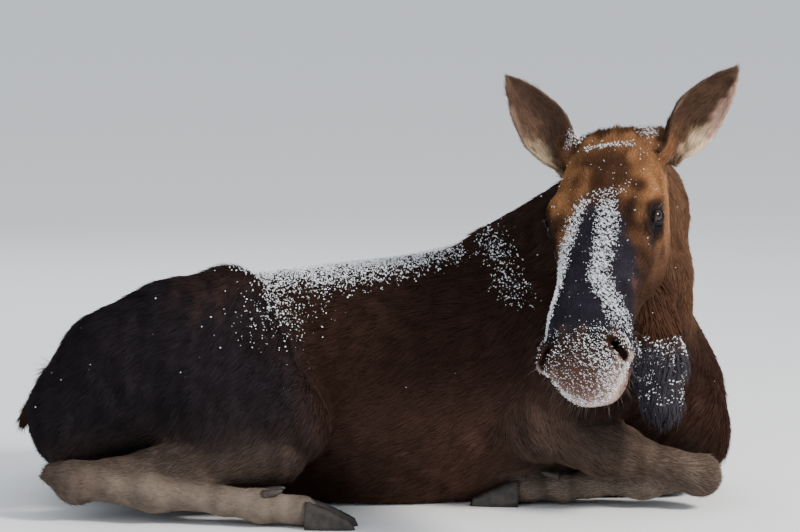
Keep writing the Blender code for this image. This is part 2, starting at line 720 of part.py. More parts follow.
on_floor(body)
tail, body = part(body, egg((-0.760, 0, 0.195), (0.050, 0.055, 0.100), (0, -30, 0)))
finish(tail, "tail", BODY_BROWN, 0.85)
fold, body = part(body, egg((0.618, -0.390, 0.300), (0.090, 0.085, 0.115)))
finish(fold, "bell", BODY_BROWN, 0.90)
for name, side in (("left", 1), ("right", -1)):
    haunch, body = part(body, egg((-0.400, 0.330 * side, 0.230 - 0.03 * side), (0.335, 0.170, 0.300),
                                  (0, 14, 0)))
    finish(haunch, f"thigh_{name}", BODY_BROWN, 0.85)
    blade, body = part(body, egg((0.400, 0.300 * side, 0.300), (0.190, 0.150, 0.330), (0, 14, 0)))
    finish(blade, f"shoulder_{name}", BODY_BROWN, 0.85)
neck_piece, body = part(body, slab(NECK_ROOT + NECK_AXES[0] * 0.45, NECK_AXES, (0.90, 1.60, 1.60)))
finish(neck_piece, "neck", BODY_BROWN, 0.88)
finish(body, "trunk", BODY_BROWN, 0.85)
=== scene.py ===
import bmesh
import bpy
import numpy as np
import openvdb
from mathutils import Matrix, Vector


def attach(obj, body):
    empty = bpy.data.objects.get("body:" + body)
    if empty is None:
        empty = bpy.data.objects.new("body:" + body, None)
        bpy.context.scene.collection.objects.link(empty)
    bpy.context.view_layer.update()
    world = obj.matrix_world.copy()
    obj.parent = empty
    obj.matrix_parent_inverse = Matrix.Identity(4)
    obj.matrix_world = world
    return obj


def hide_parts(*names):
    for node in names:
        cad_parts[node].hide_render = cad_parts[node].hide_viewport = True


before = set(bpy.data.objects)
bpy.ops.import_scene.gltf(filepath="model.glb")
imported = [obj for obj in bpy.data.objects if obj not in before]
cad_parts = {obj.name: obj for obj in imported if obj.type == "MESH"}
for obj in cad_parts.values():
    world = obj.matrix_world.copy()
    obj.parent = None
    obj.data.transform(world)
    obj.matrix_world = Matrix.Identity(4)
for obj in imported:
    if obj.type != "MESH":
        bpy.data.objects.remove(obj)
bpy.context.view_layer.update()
rng = np.random.default_rng(7)

# %% [markdown]
# ## Shapes as distances
# An animal's body is a bag of rounded forms that run into each other. Sculpting it by hand
# is one way. Here each bone or muscle is a function that gives the distance to its surface,
# and a soft minimum lets two forms flow together, so that every swelling stays a named size.
# %% Rounded forms and how they join
def rule(x, table, column):
    """Cubic pieces through one column of a table; each knot's slope is its neighbours' mean slope."""
    knots = np.array([row[0] for row in table])
    values = np.array([row[column] for row in table])
    slopes = np.gradient(values, knots)
    x = np.clip(x, knots[0], knots[-1])
    i = np.clip(np.searchsorted(knots, x) - 1, 0, len(knots) - 2)
    width = knots[i + 1] - knots[i]
    t = (x - knots[i]) / width
    start = (1 + 2 * t) * (1 - t) ** 2 * values[i] + t * (1 - t) ** 2 * width * slopes[i]
    end = t * t * (3 - 2 * t) * values[i + 1] + t * t * (t - 1) * width * slopes[i + 1]
    return start + end


def section(p, table, power):
    """Along x, |y / half|^power + |z / tall|^power = 1 draws a rounded box between top and bottom."""
    x, y, z = p[..., 0], p[..., 1], p[..., 2]
    top, low, half = rule(x, table, 1), rule(x, table, 2), rule(x, table, 3)
    tall = (top - low) / 2
    if len(table[0]) > 4:
        below = np.clip(((top + low) / 2 - z) / tall, 0, 1)
        half = half * (1 - rule(x, table, 4) * below ** 1.5)
    reach = np.abs(y / half) ** power + np.abs((z - (top + low) / 2) / tall) ** power
    side = (reach ** (1 / power) - 1) * np.minimum(half, tall)
    ends = np.maximum(table[0][0] - x, x - table[-1][0])
    return -join(-side, -ends, 0.030)


def bone(p, start, end, r_start, r_end, squeeze=(1, 1, 1)):
    """Distance to a line less a radius that goes evenly from one end to the other."""
    squeeze = np.array(squeeze)
    a, b = np.array(start) / squeeze, np.array(end) / squeeze
    q = p / squeeze
    t = np.clip(((q - a) @ (b - a)) / ((b - a) @ (b - a)), 0, 1)
    away = np.linalg.norm(q - a - t[..., None] * (b - a), axis=-1)
    return (away - (r_start + t * (r_end - r_start))) * squeeze.min()


def muscle(p, centre, radii, turn=(0, 0, 0)):
    """An ellipsoid: the length of the place over its radii, less one, times the least radius."""
    spin = np.array(Matrix.Rotation(np.radians(turn[2]), 3, "Z")
                    @ Matrix.Rotation(np.radians(turn[1]), 3, "Y")
                    @ Matrix.Rotation(np.radians(turn[0]), 3, "X"))
    q = (p - np.array(centre)) @ spin / np.array(radii)
    return (np.linalg.norm(q, axis=-1) - 1) * min(radii)


def join(a, b, soft):
    """The lesser of two distances, rounded where they differ by less than soft."""
    blend = np.clip(0.5 + 0.5 * (b - a) / soft, 0, 1)
    return b + (a - b) * blend - soft * blend * (1 - blend)


def carve(a, b, soft):
    """Shape a with shape b taken out of it."""
    return -join(-a, b, soft)


def mirrored(p):
    """The right half folded onto the left."""
    return np.stack([p[..., 0], np.abs(p[..., 1]), p[..., 2]], axis=-1)


def smooth(x, low, high):
    """0 below low, 1 above high, and 3t^2 - 2t^3 between."""
    t = np.clip((x - low) / (high - low), 0, 1)
    return t * t * (3 - 2 * t)


def window(x, low, high, soft):
    """1 between low and high, fading to 0 over soft outside them."""
    return smooth(x, low - soft, low + soft) * (1 - smooth(x, high - soft, high + soft))


def ripple(p, wavelength, seed):
    """Seven plane waves in random directions, summed to a noise of about unit size."""
    dice = np.random.default_rng(seed)
    ways = dice.normal(size=(7, 3))
    ways /= np.linalg.norm(ways, axis=1)[:, None]
    ways *= dice.uniform(0.7, 1.5, (7, 1)) * 2 * np.pi / wavelength
    return np.sin(p @ ways.T + dice.uniform(0, 6.28, 7)).sum(axis=-1) / 1.9


print("two surfaces that meet are joined", -join(0.0, 0.0, 0.05), "m above their crease at softness 0.05")

# %% [markdown]
# ## The head's own axes
# The head is easiest to describe straight: x from the poll to the nose, y to her left and
# z out of her forehead. Three angles then turn it as she holds it, nose down and towards us.
# %% Where the head is and how it is turned
POLL = np.array((0.503, -0.360, 0.832))
HEAD_PITCH, HEAD_TURN, HEAD_TILT = np.radians((51.0, 11.5, -12.0))


def head_axes():
    """Forward, left and up, from the pitch and turn; the tilt then leans left and up about forward."""
    sp, cp, st, ct = np.sin(HEAD_PITCH), np.cos(HEAD_PITCH), np.sin(HEAD_TURN), np.cos(HEAD_TURN)
    forward = np.array((-sp * st, -sp * ct, -cp))
    up = np.array((-cp * st, -cp * ct, sp))
    left = np.cross(up, forward)
    st, ct = np.sin(HEAD_TILT), np.cos(HEAD_TILT)
    return np.array((forward, left * ct - up * st, up * ct + left * st))


HEAD_AXES = head_axes()


def to_head(p):
    """World places in the head's own axes."""
    return (p - POLL) @ HEAD_AXES.T


def from_head(local):
    """Places in the head's own axes, back in the world."""
    return POLL + np.asarray(local) @ HEAD_AXES


print("the nose points along", HEAD_AXES[0].round(3))

# %% [markdown]
# ## The skull and jaw
# A moose's face is long and narrow, with brow ridges over eyes that look sideways, a dip
# below the eyes and a great soft muzzle that hangs over the lower lip. A table of tops,
# bottoms and half widths along the face gives the main form, and muscles are added to it.
# %% Face and jaw
FACE = ((-0.050, -0.045, -0.130, 0.055), (-0.030, -0.015, -0.155, 0.078), (0.010, 0.002, -0.165, 0.092),
        (0.060, 0.012, -0.165, 0.106), (0.110, 0.016, -0.165, 0.115), (0.160, 0.012, -0.165, 0.120),
        (0.210, 0.002, -0.165, 0.115), (0.260, -0.010, -0.160, 0.102), (0.310, -0.016, -0.155, 0.091),
        (0.370, -0.017, -0.150, 0.086), (0.430, -0.009, -0.145, 0.085), (0.480, 0.003, -0.150, 0.085),
        (0.530, 0.006, -0.162, 0.085), (0.575, -0.005, -0.174, 0.085), (0.610, -0.028, -0.180, 0.079),
        (0.640, -0.064, -0.172, 0.060))
JAW = ((0.080, -0.120, -0.190, 0.050), (0.130, -0.110, -0.235, 0.078), (0.200, -0.100, -0.252, 0.084),
       (0.270, -0.100, -0.245, 0.072), (0.340, -0.110, -0.230, 0.056), (0.420, -0.120, -0.220, 0.046),
       (0.500, -0.135, -0.216, 0.046), (0.550, -0.150, -0.216, 0.048), (0.582, -0.165, -0.206, 0.036))
EYE_AT = np.array((0.216, 0.104, -0.057))
EYE_RADIUS = 0.0195
GAZE = np.array((0.34, 0.86, 0.38)) / np.linalg.norm((0.34, 0.86, 0.38))
NOSTRIL = ((0.583, 0.061, -0.029), (0.602, 0.082, -0.062))


def skull(h):
    """Forehead, brow ridges, cheeks, the arched nose and the broad upper lip, run together."""
    m = mirrored(h)
    d = section(h, FACE, 2.7)
    d = join(d, muscle(m, (0.205, 0.092, -0.040), (0.062, 0.036, 0.034), (0, 0, -6)), 0.020)
    d = join(d, muscle(m, (0.205, 0.062, -0.150), (0.125, 0.046, 0.085), (0, 8, -4)), 0.030)
    d = join(d, bone(m, (0.235, 0.092, -0.090), (0.370, 0.062, -0.095), 0.024, 0.020), 0.030)
    d = join(d, muscle(m, (0.570, 0.060, -0.074), (0.046, 0.032, 0.036), (0, 0, 8)), 0.018)
    d = join(d, muscle(h, (0.592, 0, -0.122), (0.056, 0.078, 0.054), (0, 12, 0)), 0.022)
    return join(d, muscle(m, (-0.004, 0.086, -0.062), (0.042, 0.038, 0.042)), 0.030)


def jaw(h):
    """The lower jaw, deep at the cheek and slim at the chin, with its rounded lip."""
    d = section(h, JAW, 2.2)
    return join(d, muscle(h, (0.552, 0, -0.178), (0.036, 0.050, 0.030)), 0.02)


print("the face is", FACE[-1][0] - FACE[0][0], "m long and", 2 * max(row[3] for row in FACE), "m wide")

# %% [markdown]
# ## The body
# She lies on her left hip, so the right haunch stands high on our side. The trunk is a
# table of heights and widths as the face is; neck, shoulders, haunches, bell and tail are
# bones and muscles joined to it.
# %% Trunk, neck, shoulders and haunches
TRUNK = ((-0.750, 0.200, 0.130, 0.060, 0.10), (-0.710, 0.255, 0.070, 0.135, 0.10),
         (-0.620, 0.335, 0.000, 0.190, 0.10), (-0.500, 0.400, -0.035, 0.215, 0.10),
         (-0.400, 0.450, -0.035, 0.225, 0.10), (-0.300, 0.490, -0.035, 0.235, 0.10),
         (-0.200, 0.511, -0.035, 0.240, 0.10), (-0.050, 0.525, -0.035, 0.262, 0.12),
         (0.100, 0.545, -0.035, 0.275, 0.20), (0.200, 0.570, -0.035, 0.272, 0.35),
         (0.300, 0.606, -0.035, 0.255, 0.48), (0.400, 0.640, -0.035, 0.230, 0.55),
         (0.500, 0.650, -0.030, 0.205, 0.55), (0.610, 0.560, -0.015, 0.185, 0.50),
         (0.718, 0.402, 0.030, 0.150, 0.30), (0.790, 0.275, 0.085, 0.090, 0.20))
HIP_LEAN = 0.28


def leaning(p):
    """Places as if the hips were level: behind the loin, height falls with the distance to her left."""
    behind = smooth(-p[..., 0], 0.05, 0.35)
    off_floor = np.clip(p[..., 2] / 0.40, 0, 1)
    level = p[..., 2] + HIP_LEAN * behind * off_floor * p[..., 1]
    return np.stack([p[..., 0], p[..., 1], level], axis=-1)


def trunk(p):
    """The barrel of the body, the withers and the breast."""
    d = section(leaning(p), TRUNK, 2.3)
    d = join(d, bone(p, (0.300, 0, 0.530), (0.480, -0.010, 0.620), 0.085, 0.100), 0.06)
    return join(d, bone(p, (0.615, 0, 0.300), (0.682, 0, 0.150), 0.085, 0.112), 0.06)


def neck(p):
    """A deep neck that leaves the shoulders and bends round to her right, and the throat."""
    tall = (1, 1, 1.22)
    d = bone(p, (0.542, -0.285, 0.680), (0.564, -0.180, 0.637), 0.106, 0.124, tall)
    d = join(d, bone(p, (0.564, -0.180, 0.637), (0.535, -0.070, 0.560), 0.124, 0.142, tall), 0.05)
    d = join(d, bone(p, (0.535, -0.070, 0.560), (0.465, 0.010, 0.450), 0.142, 0.185, tall), 0.06)
    return join(d, bone(p, (0.625, -0.225, 0.515), (0.625, -0.060, 0.320), 0.080, 0.098), 0.06)


def bell(p):
    """The bell: a web of skin from the throat to a rounded bag."""
    wide = (1.22, 1, 1)
    d = bone(p, (0.586, -0.290, 0.490), (0.612, -0.350, 0.375), 0.060, 0.048, wide)
    d = join(d, bone(p, (0.590, -0.215, 0.450), (0.612, -0.325, 0.330), 0.066, 0.048), 0.05)
    return join(d, bone(p, (0.614, -0.356, 0.338), (0.617, -0.368, 0.268), 0.050, 0.047, wide), 0.04)


def shoulder(p):
    """The blade, the point of the shoulder and the upper arm, on both sides."""
    q = mirrored(p)
    d = bone(q, (0.420, 0.105, 0.610), (0.540, 0.165, 0.330), 0.070, 0.105, (1, 0.75, 1))
    d = join(d, bone(q, (0.545, 0.160, 0.310), (0.370, 0.205, 0.195), 0.105, 0.095, (1, 0.9, 1)), 0.05)
    return join(d, muscle(q, (0.380, 0.165, 0.330), (0.150, 0.095, 0.170), (0, 20, 0)), 0.05)


def thigh(p):
    """The hip, the broad haunch, the knee and the ham behind it, on both sides."""
    q = mirrored(leaning(p))
    d = muscle(q, (-0.375, 0.215, 0.286), (0.225, 0.125, 0.178), (0, -12, 0))
    d = join(d, bone(q, (-0.285, 0.182, 0.406), (-0.180, 0.270, 0.205), 0.082, 0.090), 0.05)
    d = join(d, bone(q, (-0.430, 0.215, 0.272), (-0.545, 0.222, 0.243), 0.144, 0.126), 0.06)
    d = join(d, bone(q, (-0.545, 0.222, 0.243), (-0.632, 0.232, 0.180), 0.126, 0.108), 0.05)
    return join(d, bone(q, (-0.180, 0.270, 0.200), (-0.330, 0.275, 0.150), 0.095, 0.110), 0.05)


def tail(p):
    """A short cone that hangs behind the haunches."""
    return bone(p, (-0.700, 0, 0.262), (-0.762, 0, 0.175), 0.038, 0.026)


print("the trunk is", TRUNK[-1][0] - TRUNK[0][0], "m long and", max(row[1] for row in TRUNK), "m high")

# %% [markdown]
# ## Folded legs
# Each leg folds twice: the forearm runs forward to the knee and the cannon runs back from
# it; behind, the shank runs back to the hock and the cannon forward. A length of leg is
# thick at its joints and slim between them.
# %% Lengths of leg
FORE_LEG = {"elbow": ((0.365, 0.225, 0.185), 0.070), "knee": ((0.715, 0.190, 0.078), 0.052),
            "fetlock": ((0.425, 0.125, 0.042), 0.038), "foot": ((0.335, 0.120, 0.036), 0.034)}
HIND_LEG = {"stifle": ((-0.200, 0.290, 0.150), 0.080), "hock": ((-0.620, 0.330, 0.085), 0.052),
            "fetlock": ((-0.230, 0.385, 0.045), 0.040), "foot": ((-0.140, 0.395, 0.036), 0.035)}
HEEL = ((-0.668, 0.325, 0.100), 0.032)


def leg_length(q, upper, lower, bulge=0.0, spur=None, fit=1.0):
    """A cone from the upper joint to four tenths, a slimmer one to eight tenths, then the lower knob."""
    (a, r_a), (b, r_b) = upper, lower
    a, b = np.array(a), np.array(b)
    shaft = 0.72 * min(r_a, r_b)
    swell = max(shaft, r_a * 0.78) + bulge
    mid, slim = a + 0.42 * (b - a), a + 0.80 * (b - a)
    d = bone(q, a, mid, r_a * fit, swell)
    d = join(d, bone(q, mid, slim, swell, shaft), 0.03)
    d = join(d, bone(q, slim, b, shaft, r_b), 0.03)
    return d if spur is None else join(d, bone(q, b, spur[0], r_b * 0.8, spur[1]), 0.02)


def upper_legs(p):
    """Forearms and shanks."""
    q = mirrored(p)
    fore = leg_length(q, FORE_LEG["elbow"], FORE_LEG["knee"], 0.012)
    return np.minimum(fore, leg_length(q, HIND_LEG["stifle"], HIND_LEG["hock"], 0.012, HEEL))


def cannons(p):
    """Cannon bones, fetlocks and feet."""
    q = mirrored(p)
    fore = leg_length(q, FORE_LEG["knee"], FORE_LEG["fetlock"], 0, FORE_LEG["foot"], 0.72)
    hind = leg_length(q, HIND_LEG["hock"], HIND_LEG["fetlock"], 0, HIND_LEG["foot"], 0.72)
    return np.minimum(fore, hind)


for limb, leg in (("fore", FORE_LEG), ("hind", HIND_LEG)):
    print(limb, "leg, from its root to its foot:", [stop for stop, (spot, radius) in leg.items()])

# %% [markdown]
# ## Ears
# An ear is a cupped leaf, rolled into a tube at its root. Across the ear the wall is an arc
# of a circle, and the circle's radius and the arc's angle change from the root to the tip.
# %% Ear walls
EAR_ROOT = (0.000, 0.108, -0.067)
EAR_LENGTH, EAR_WIDTH, EAR_WALL = 0.227, 0.116, 0.0065
EARS = {"left": (1, (0.655, 0.10, 0.745), (0.22, -0.95, -0.10)),
        "right": (-1, (-0.58, 0.14, 0.80), (-0.10, -0.98, -0.02))}


def ear_axes(name):
    """The ear's root, its axis, the way across it and the way its cup faces."""
    side, along, facing = EARS[name]
    along = np.array(along) / np.linalg.norm(along)
    across = np.cross(facing, along)
    across /= np.linalg.norm(across)
    root = from_head(np.array(EAR_ROOT) * (1, side, 1))
    return root, along, across, np.cross(along, across)


def ear(p, name):
    """At each share s of the ear's length, distance to an arc of given radius and half angle."""
    root, along, across, facing = ear_axes(name)
    q = p - root
    s = q @ along / EAR_LENGTH
    c = np.clip(s, 0, 1)
    half = EAR_WIDTH / 2 * (0.55 + 0.45 * np.sin(np.pi * np.clip(c / 0.40, 0, 1) / 2))
    half = half * np.clip(1 - (np.clip(c - 0.30, 0, 1) / 0.70) ** 1.9, 0.05, 1) ** 0.85
    roll = np.radians(120 - 62 * np.clip(c / 0.40, 0, 1) ** 0.8)
    radius = half / np.sin(np.minimum(roll, np.pi / 2))
    x = np.abs(q @ across)
    y = q @ facing + 0.020 * np.sin(np.pi * c) - radius
    middle = radius - 0.005
    angle = np.arctan2(x, -y)
    end = np.hypot(x - middle * np.sin(roll), y + middle * np.cos(roll))
    wall = np.where(angle < roll, np.abs(np.hypot(x, y) - middle), end) - EAR_WALL / 2
    return np.maximum(wall, np.maximum(-s - 0.10, s - 0.985) * EAR_LENGTH)


for name in EARS:
    print(name, "ear points along", ear_axes(name)[1].round(2))

# %% [markdown]
# ## Zones of the coat
# Each zone of the animal has its own length, width and lift of hair, and the coat's depth
# follows from them. A root belongs to the zones it is nearest to, by weights that fall with
# the distance to each zone's form, so the coat changes gradually from one to the next.
# %% Zone table and weights
ZONES = {  # form, coat depth, tuft length, tuft width, lift in degrees, way the hair lies
    "trunk": (trunk, 0.013, 0.034, 0.0030, 9, (-0.90, 0.0, -0.42)),
    "shoulder": (shoulder, 0.013, 0.034, 0.0030, 9, (-0.55, 0.0, -0.83)),
    "thigh": (thigh, 0.010, 0.028, 0.0028, 8, (-0.72, 0.0, -0.69)),
    "neck": (neck, 0.014, 0.026, 0.0025, 6, (-0.25, 0.45, -0.86)),
    "bell": (bell, 0.016, 0.048, 0.0034, 20, (0.05, -0.15, -1.0)),
    "skull": (lambda p: skull(to_head(p)), 0.0045, 0.0105, 0.0015, 10, tuple(-HEAD_AXES[0])),
    "jaw": (lambda p: jaw(to_head(p)), 0.0070, 0.018, 0.0021, 15,
            tuple(-HEAD_AXES[0] - 0.35 * HEAD_AXES[2])),
    "tail": (tail, 0.012, 0.036, 0.0032, 14, (-0.35, 0.0, -1.0)),
    "upper_legs": (upper_legs, 0.007, 0.020, 0.0024, 9, (0.0, 0.0, -1.0)),
    "cannons": (cannons, 0.005, 0.013, 0.0019, 9, (0.0, 0.0, -1.0)),
    "ear_left": (lambda p: ear(p, "left"), 0.0, 0.015, 0.0015, 12, tuple(ear_axes("left")[1])),
    "ear_right": (lambda p: ear(p, "right"), 0.0, 0.015, 0.0015, 12, tuple(ear_axes("right")[1])),
}
NAMES = list(ZONES)
JOINS = {"shoulder": 0.05, "thigh": 0.035, "neck": 0.06, "bell": 0.025, "skull": 0.035, "jaw": 0.016,
         "tail": 0.02, "upper_legs": 0.012, "cannons": 0.010}


def zone_distances(p):
    """One column for each zone: the distance to its form."""
    return np.stack([ZONES[name][0](p) for name in NAMES], axis=-1)


def zone_weights(distances, reach=0.018):
    """exp(-distance / reach) for each zone, over their sum."""
    w = np.exp(-np.clip(distances - distances.min(axis=-1, keepdims=True), 0, 1) / reach)
    return w / w.sum(axis=-1, keepdims=True)


def blended(weights, column):
    """One column of the zone table, mixed by weight at each place."""
    return weights @ np.array([ZONES[name][column] for name in NAMES])


print("zones:", ", ".join(NAMES))

# %% [markdown]
# ## Creases, nostrils and lips
# The fine forms are cut at the skin's own level: a socket with creases round it for each
# eye, comma-shaped nostrils under a fold, and the line where the lips meet. The lids are
# thinner than the grid can hold, so they are a piece of their own, made further down.
# %% The skin's fine forms
LID_ALONG = np.array((1.0, 0, 0)) - GAZE[0] * GAZE
LID_ALONG /= np.linalg.norm(LID_ALONG)
LID_ACROSS = np.cross(GAZE, LID_ALONG) * -1
LID_AXES = np.array((GAZE, LID_ALONG, LID_ACROSS))


def nostril(m):
    """Distances to the comma of the nostril and to the passage behind it."""
    inner, outer = np.array(NOSTRIL)
    comma = bone(m, inner, outer, 0.0068, 0.0088)
    return comma, bone(m, (inner + outer) / 2, inner + (-0.030, 0.000, -0.030), 0.0085, 0.0070)


def from_nostril(m):
    """Distance to the nearer of the nostril's two hollows."""
    return np.minimum(*nostril(m))


def fine_forms(d, h):
    """Sockets, creases, tear ducts, nostrils and lips, for places near the head."""
    m = mirrored(h)
    away = np.linalg.norm(m - EYE_AT, axis=-1)
    opening = (m - EYE_AT - 0.024 * GAZE) @ LID_AXES.T
    d = carve(d, (np.linalg.norm(opening / (0.70, 1.30, 1.0), axis=-1) - 0.0205) * 0.8, 0.012)
    d = d + 0.0010 * np.cos((away - 0.0330) * 2 * np.pi / 0.0090) * window(away, 0.032, 0.050, 0.006)
    d = carve(d, away - EYE_RADIUS - 0.0030, 0.003)
    duct = bone(m, EYE_AT + (0.022, 0.012, -0.004), EYE_AT + (0.046, 0.000, -0.014), 0.0032, 0.0014)
    d = carve(d, duct, 0.004)
    inner, outer = np.array(NOSTRIL)
    wing = bone(m, inner + (-0.006, 0.016, -0.014), outer + (-0.004, 0.006, -0.008), 0.0115, 0.0125)
    fold = bone(m, inner + (0.012, -0.004, -0.010), outer + (0.010, -0.012, -0.002), 0.0075, 0.0085)
    d = join(join(d, wing, 0.010), fold, 0.010)
    for hollow in nostril(m):
        d = carve(d, hollow, 0.004)
    low_side = smooth(h[..., 0], 0.560, 0.600) * smooth(-h[..., 2], 0.085, 0.130)
    d = d + 0.007 * low_side * smooth(m[..., 1], 0.030, 0.065)
    lips = np.abs(skull(h) - jaw(h)) * 0.6 - 0.0022
    slit = np.maximum(lips, np.maximum(-(d + 0.014), 0.405 - h[..., 0]))
    return carve(d, np.maximum(slit, h[..., 2] + 0.10), 0.004)


def skin_field(p):
    """All forms joined, shrunk by the coat's depth, then the fine forms, the ears and the floor."""
    z = zone_distances(p)
    d = z[..., 0]
    for name, soft in JOINS.items():
        d = join(d, z[..., NAMES.index(name)], soft)
    d = d + blended(zone_weights(z), 1) * (0.35 + 0.65 * smooth(p[..., 2], 0.0, 0.08))
    h = to_head(p)
    near = (h[..., 0] > 0.10) & (np.abs(h[..., 1]) < 0.17) & (h[..., 2] > -0.28) & (h[..., 0] < 0.72)
    d[near] = fine_forms(d[near], h[near])
    for name in EARS:
        d = join(d, z[..., NAMES.index("ear_" + name)], 0.010)
    return np.maximum(d, 0.005 - p[..., 2])


print("the eye's centre is", skin_field(from_head(EYE_AT)[None])[0].round(4), "m from the socket's wall")

# %% [markdown]
# ## From a field to one skin
# The skin is the surface where the field is zero. A grid is read with fine steps over the
# head and coarse ones elsewhere, and only near the surface. OpenVDB turns the grid into
# faces, and the grid's uneven steps stretch them back to life size.
# %% Read the field and make the skin
FINE, COARSE = 0.0036, 0.0096


def uneven(*stretches):
    """Numbers from each stretch's start to the next one's at its own step."""
    runs = [np.arange(a, b, step) for (a, step), (b, _) in zip(stretches, stretches[1:])]
    line = np.concatenate(runs)
    return line[: len(line) // 4 * 4 + 1] if len(line) % 4 else np.append(line, stretches[-1][0])


AXES = (uneven((-0.84, COARSE), (0.30, FINE), (0.785, COARSE), (0.84, 0)),
        uneven((-0.86, FINE), (-0.24, COARSE), (0.48, 0)),
        uneven((-0.03, COARSE), (0.30, FINE), (1.00, 0)))


def read_field(field, axes, block=4):
    """The field in every block of cells that the surface may cross, and its sign elsewhere."""
    counts = [(len(a) - 1) // block for a in axes]
    middles = [a[block // 2 :: block][:n] for a, n in zip(axes, counts)]
    sizes = [a[block::block][:n] - a[::block][:n] for a, n in zip(axes, counts)]
    centre = np.stack(np.meshgrid(*middles, indexing="ij"), axis=-1)
    span = np.sqrt(sum(s ** 2 for s in np.meshgrid(*sizes, indexing="ij")))
    rough = field(centre)
    values = (np.sign(rough) * 3).astype(np.float32)
    for axis in range(3):
        values = np.repeat(values, block, axis)
    near = np.argwhere(np.abs(rough) < 0.75 * span + 0.003)
    steps = np.stack(np.meshgrid(*[np.arange(block)] * 3, indexing="ij"), axis=-1).reshape(-1, 3)
    for part in np.array_split(near, max(1, len(near) // 6000)):
        cells = (part[:, None, :] * block + steps).reshape(-1, 3)
        places = np.stack([a[cells[:, i]] for i, a in enumerate(axes)], axis=-1)
        values[tuple(cells.T)] = np.clip(field(places) / FINE, -3, 3)
    return values


def mesh_from(name, points, faces):
    """A mesh from an array of places and an array of triangles."""
    mesh = bpy.data.meshes.new(name)
    mesh.vertices.add(len(points))
    mesh.vertices.foreach_set("co", np.asarray(points, dtype=np.float32).ravel())
    mesh.loops.add(faces.size)
    mesh.loops.foreach_set("vertex_index", faces.astype(np.int32).ravel())
    mesh.polygons.add(len(faces))
    mesh.polygons.foreach_set("loop_start", np.arange(0, faces.size, faces.shape[1], dtype=np.int32))
    mesh.update(calc_edges=True)
    mesh.validate()
    return mesh


def place(name, mesh):
    """An object for a mesh, at the origin."""
    body = bpy.data.objects.new(name, mesh)
    bpy.context.scene.collection.objects.link(body)
    return body


volume = openvdb.FloatGrid(3.0)
volume.copyFromArray(read_field(skin_field, AXES))
corners, triangles, quads = volume.convertToPolygons(isovalue=0.0, adaptivity=0.0)
corners = np.stack([np.interp(corners[:, i], np.arange(len(a)), a) for i, a in enumerate(AXES)], axis=-1)
faces = np.concatenate([triangles, quads[:, (0, 1, 2)], quads[:, (0, 2, 3)]])
skin = place("skin", mesh_from("skin", corners, faces))
print("skin before thinning", len(faces))

# %% [markdown]
# The first surface has more faces than it needs on the smooth flanks. Decimate merges the
# flattest ones first, so the folds of the head keep theirs.
# %% Thin the skin and read it back
SKIN_FACES = 188000
fewer = skin.modifiers.new("fewer", "DECIMATE")
fewer.ratio = min(1.0, SKIN_FACES / len(faces))
skin.data = bpy.data.meshes.new_from_object(skin.evaluated_get(bpy.context.evaluated_depsgraph_get()))
skin.modifiers.clear()
skin.data.shade_smooth()
count = len(skin.data.vertices)
spots, outward = np.empty(count * 3), np.empty(count * 3)
skin.data.vertices.foreach_get("co", spots)
skin.data.vertex_normals.foreach_get("vector", outward)
spots, outward = spots.reshape(-1, 3), outward.reshape(-1, 3)
ring = np.empty(len(skin.data.loops), dtype=np.int32)
skin.data.loops.foreach_get("vertex_index", ring)
ring = ring.reshape(-1, 3)
print("skin", len(ring), "triangles", spots.min(0).round(3), spots.max(0).round(3))

# %% [markdown]
# ## Markings
# Skin and coat take their colours from one function of place, so they always agree: a
# near-black brown body, redder on the barrel and painted paler low on the flank as sunlight
# falls there, an orange-brown forehead and cheeks, a slate-brown bridge, a pale nose,
# grey-brown legs, and ears that are dark inside with a cream fringe. Painted light and shade
# are part of it too: sunlight on the front of the throat, painted shade that deepens the
# haunch's own dark and darkens the lower jaw, the chin and the sides of the muzzle, and each
# ear's cup and fringe made lighter or darker as the light falls on it.
# %% Colours by place
BROWN, REDDISH, SUNLIT_FLANK = (0.0210, 0.0130, 0.0110), (0.0290, 0.0155, 0.0115), (0.0720, 0.0390, 0.0290)
BLACK, ORANGE, TAN = (0.0135, 0.0122, 0.0150), (0.240, 0.112, 0.050), (0.150, 0.078, 0.045)
SLATE, PALE, LEG_GREY = (0.0240, 0.0215, 0.0290), (0.330, 0.225, 0.190), (0.190, 0.150, 0.120)
UMBER, NOSE_BROWN, RIM = (0.044, 0.0215, 0.0135), (0.100, 0.053, 0.039), (0.480, 0.370, 0.330)
EAR_DARK, CREAM, EAR_BACK = (0.078, 0.046, 0.032), (0.600, 0.450, 0.300), (0.130, 0.086, 0.062)
BELL_TIP, EAR_EDGE = (0.0300, 0.0270, 0.0335), (0.340, 0.220, 0.170)
# Painted light and shade: each ear's cup and fringe are made darker or lighter as the light falls on that
# ear.
EAR_LIGHT_SHADE_EDGE = {  # how light the cup and the fringe are, and how far out the pale edge starts
    "left": (0.72, 1.25, 0.45),
    "right": (1.35, 0.75, 0.66)}


def paint(colour, over, mask):
    """colour + (over - colour) * mask, for a mask between 0 and 1."""
    return colour + (np.array(over) - colour) * np.clip(mask, 0, 1)[:, None]


def above_lip(y, z):
    """Height over the upper lip's rim, which is an arch across the face: 0.058 (y / 0.080)^2 - 0.137."""
    return z + 0.137 - 0.058 * (y / 0.080) ** 2


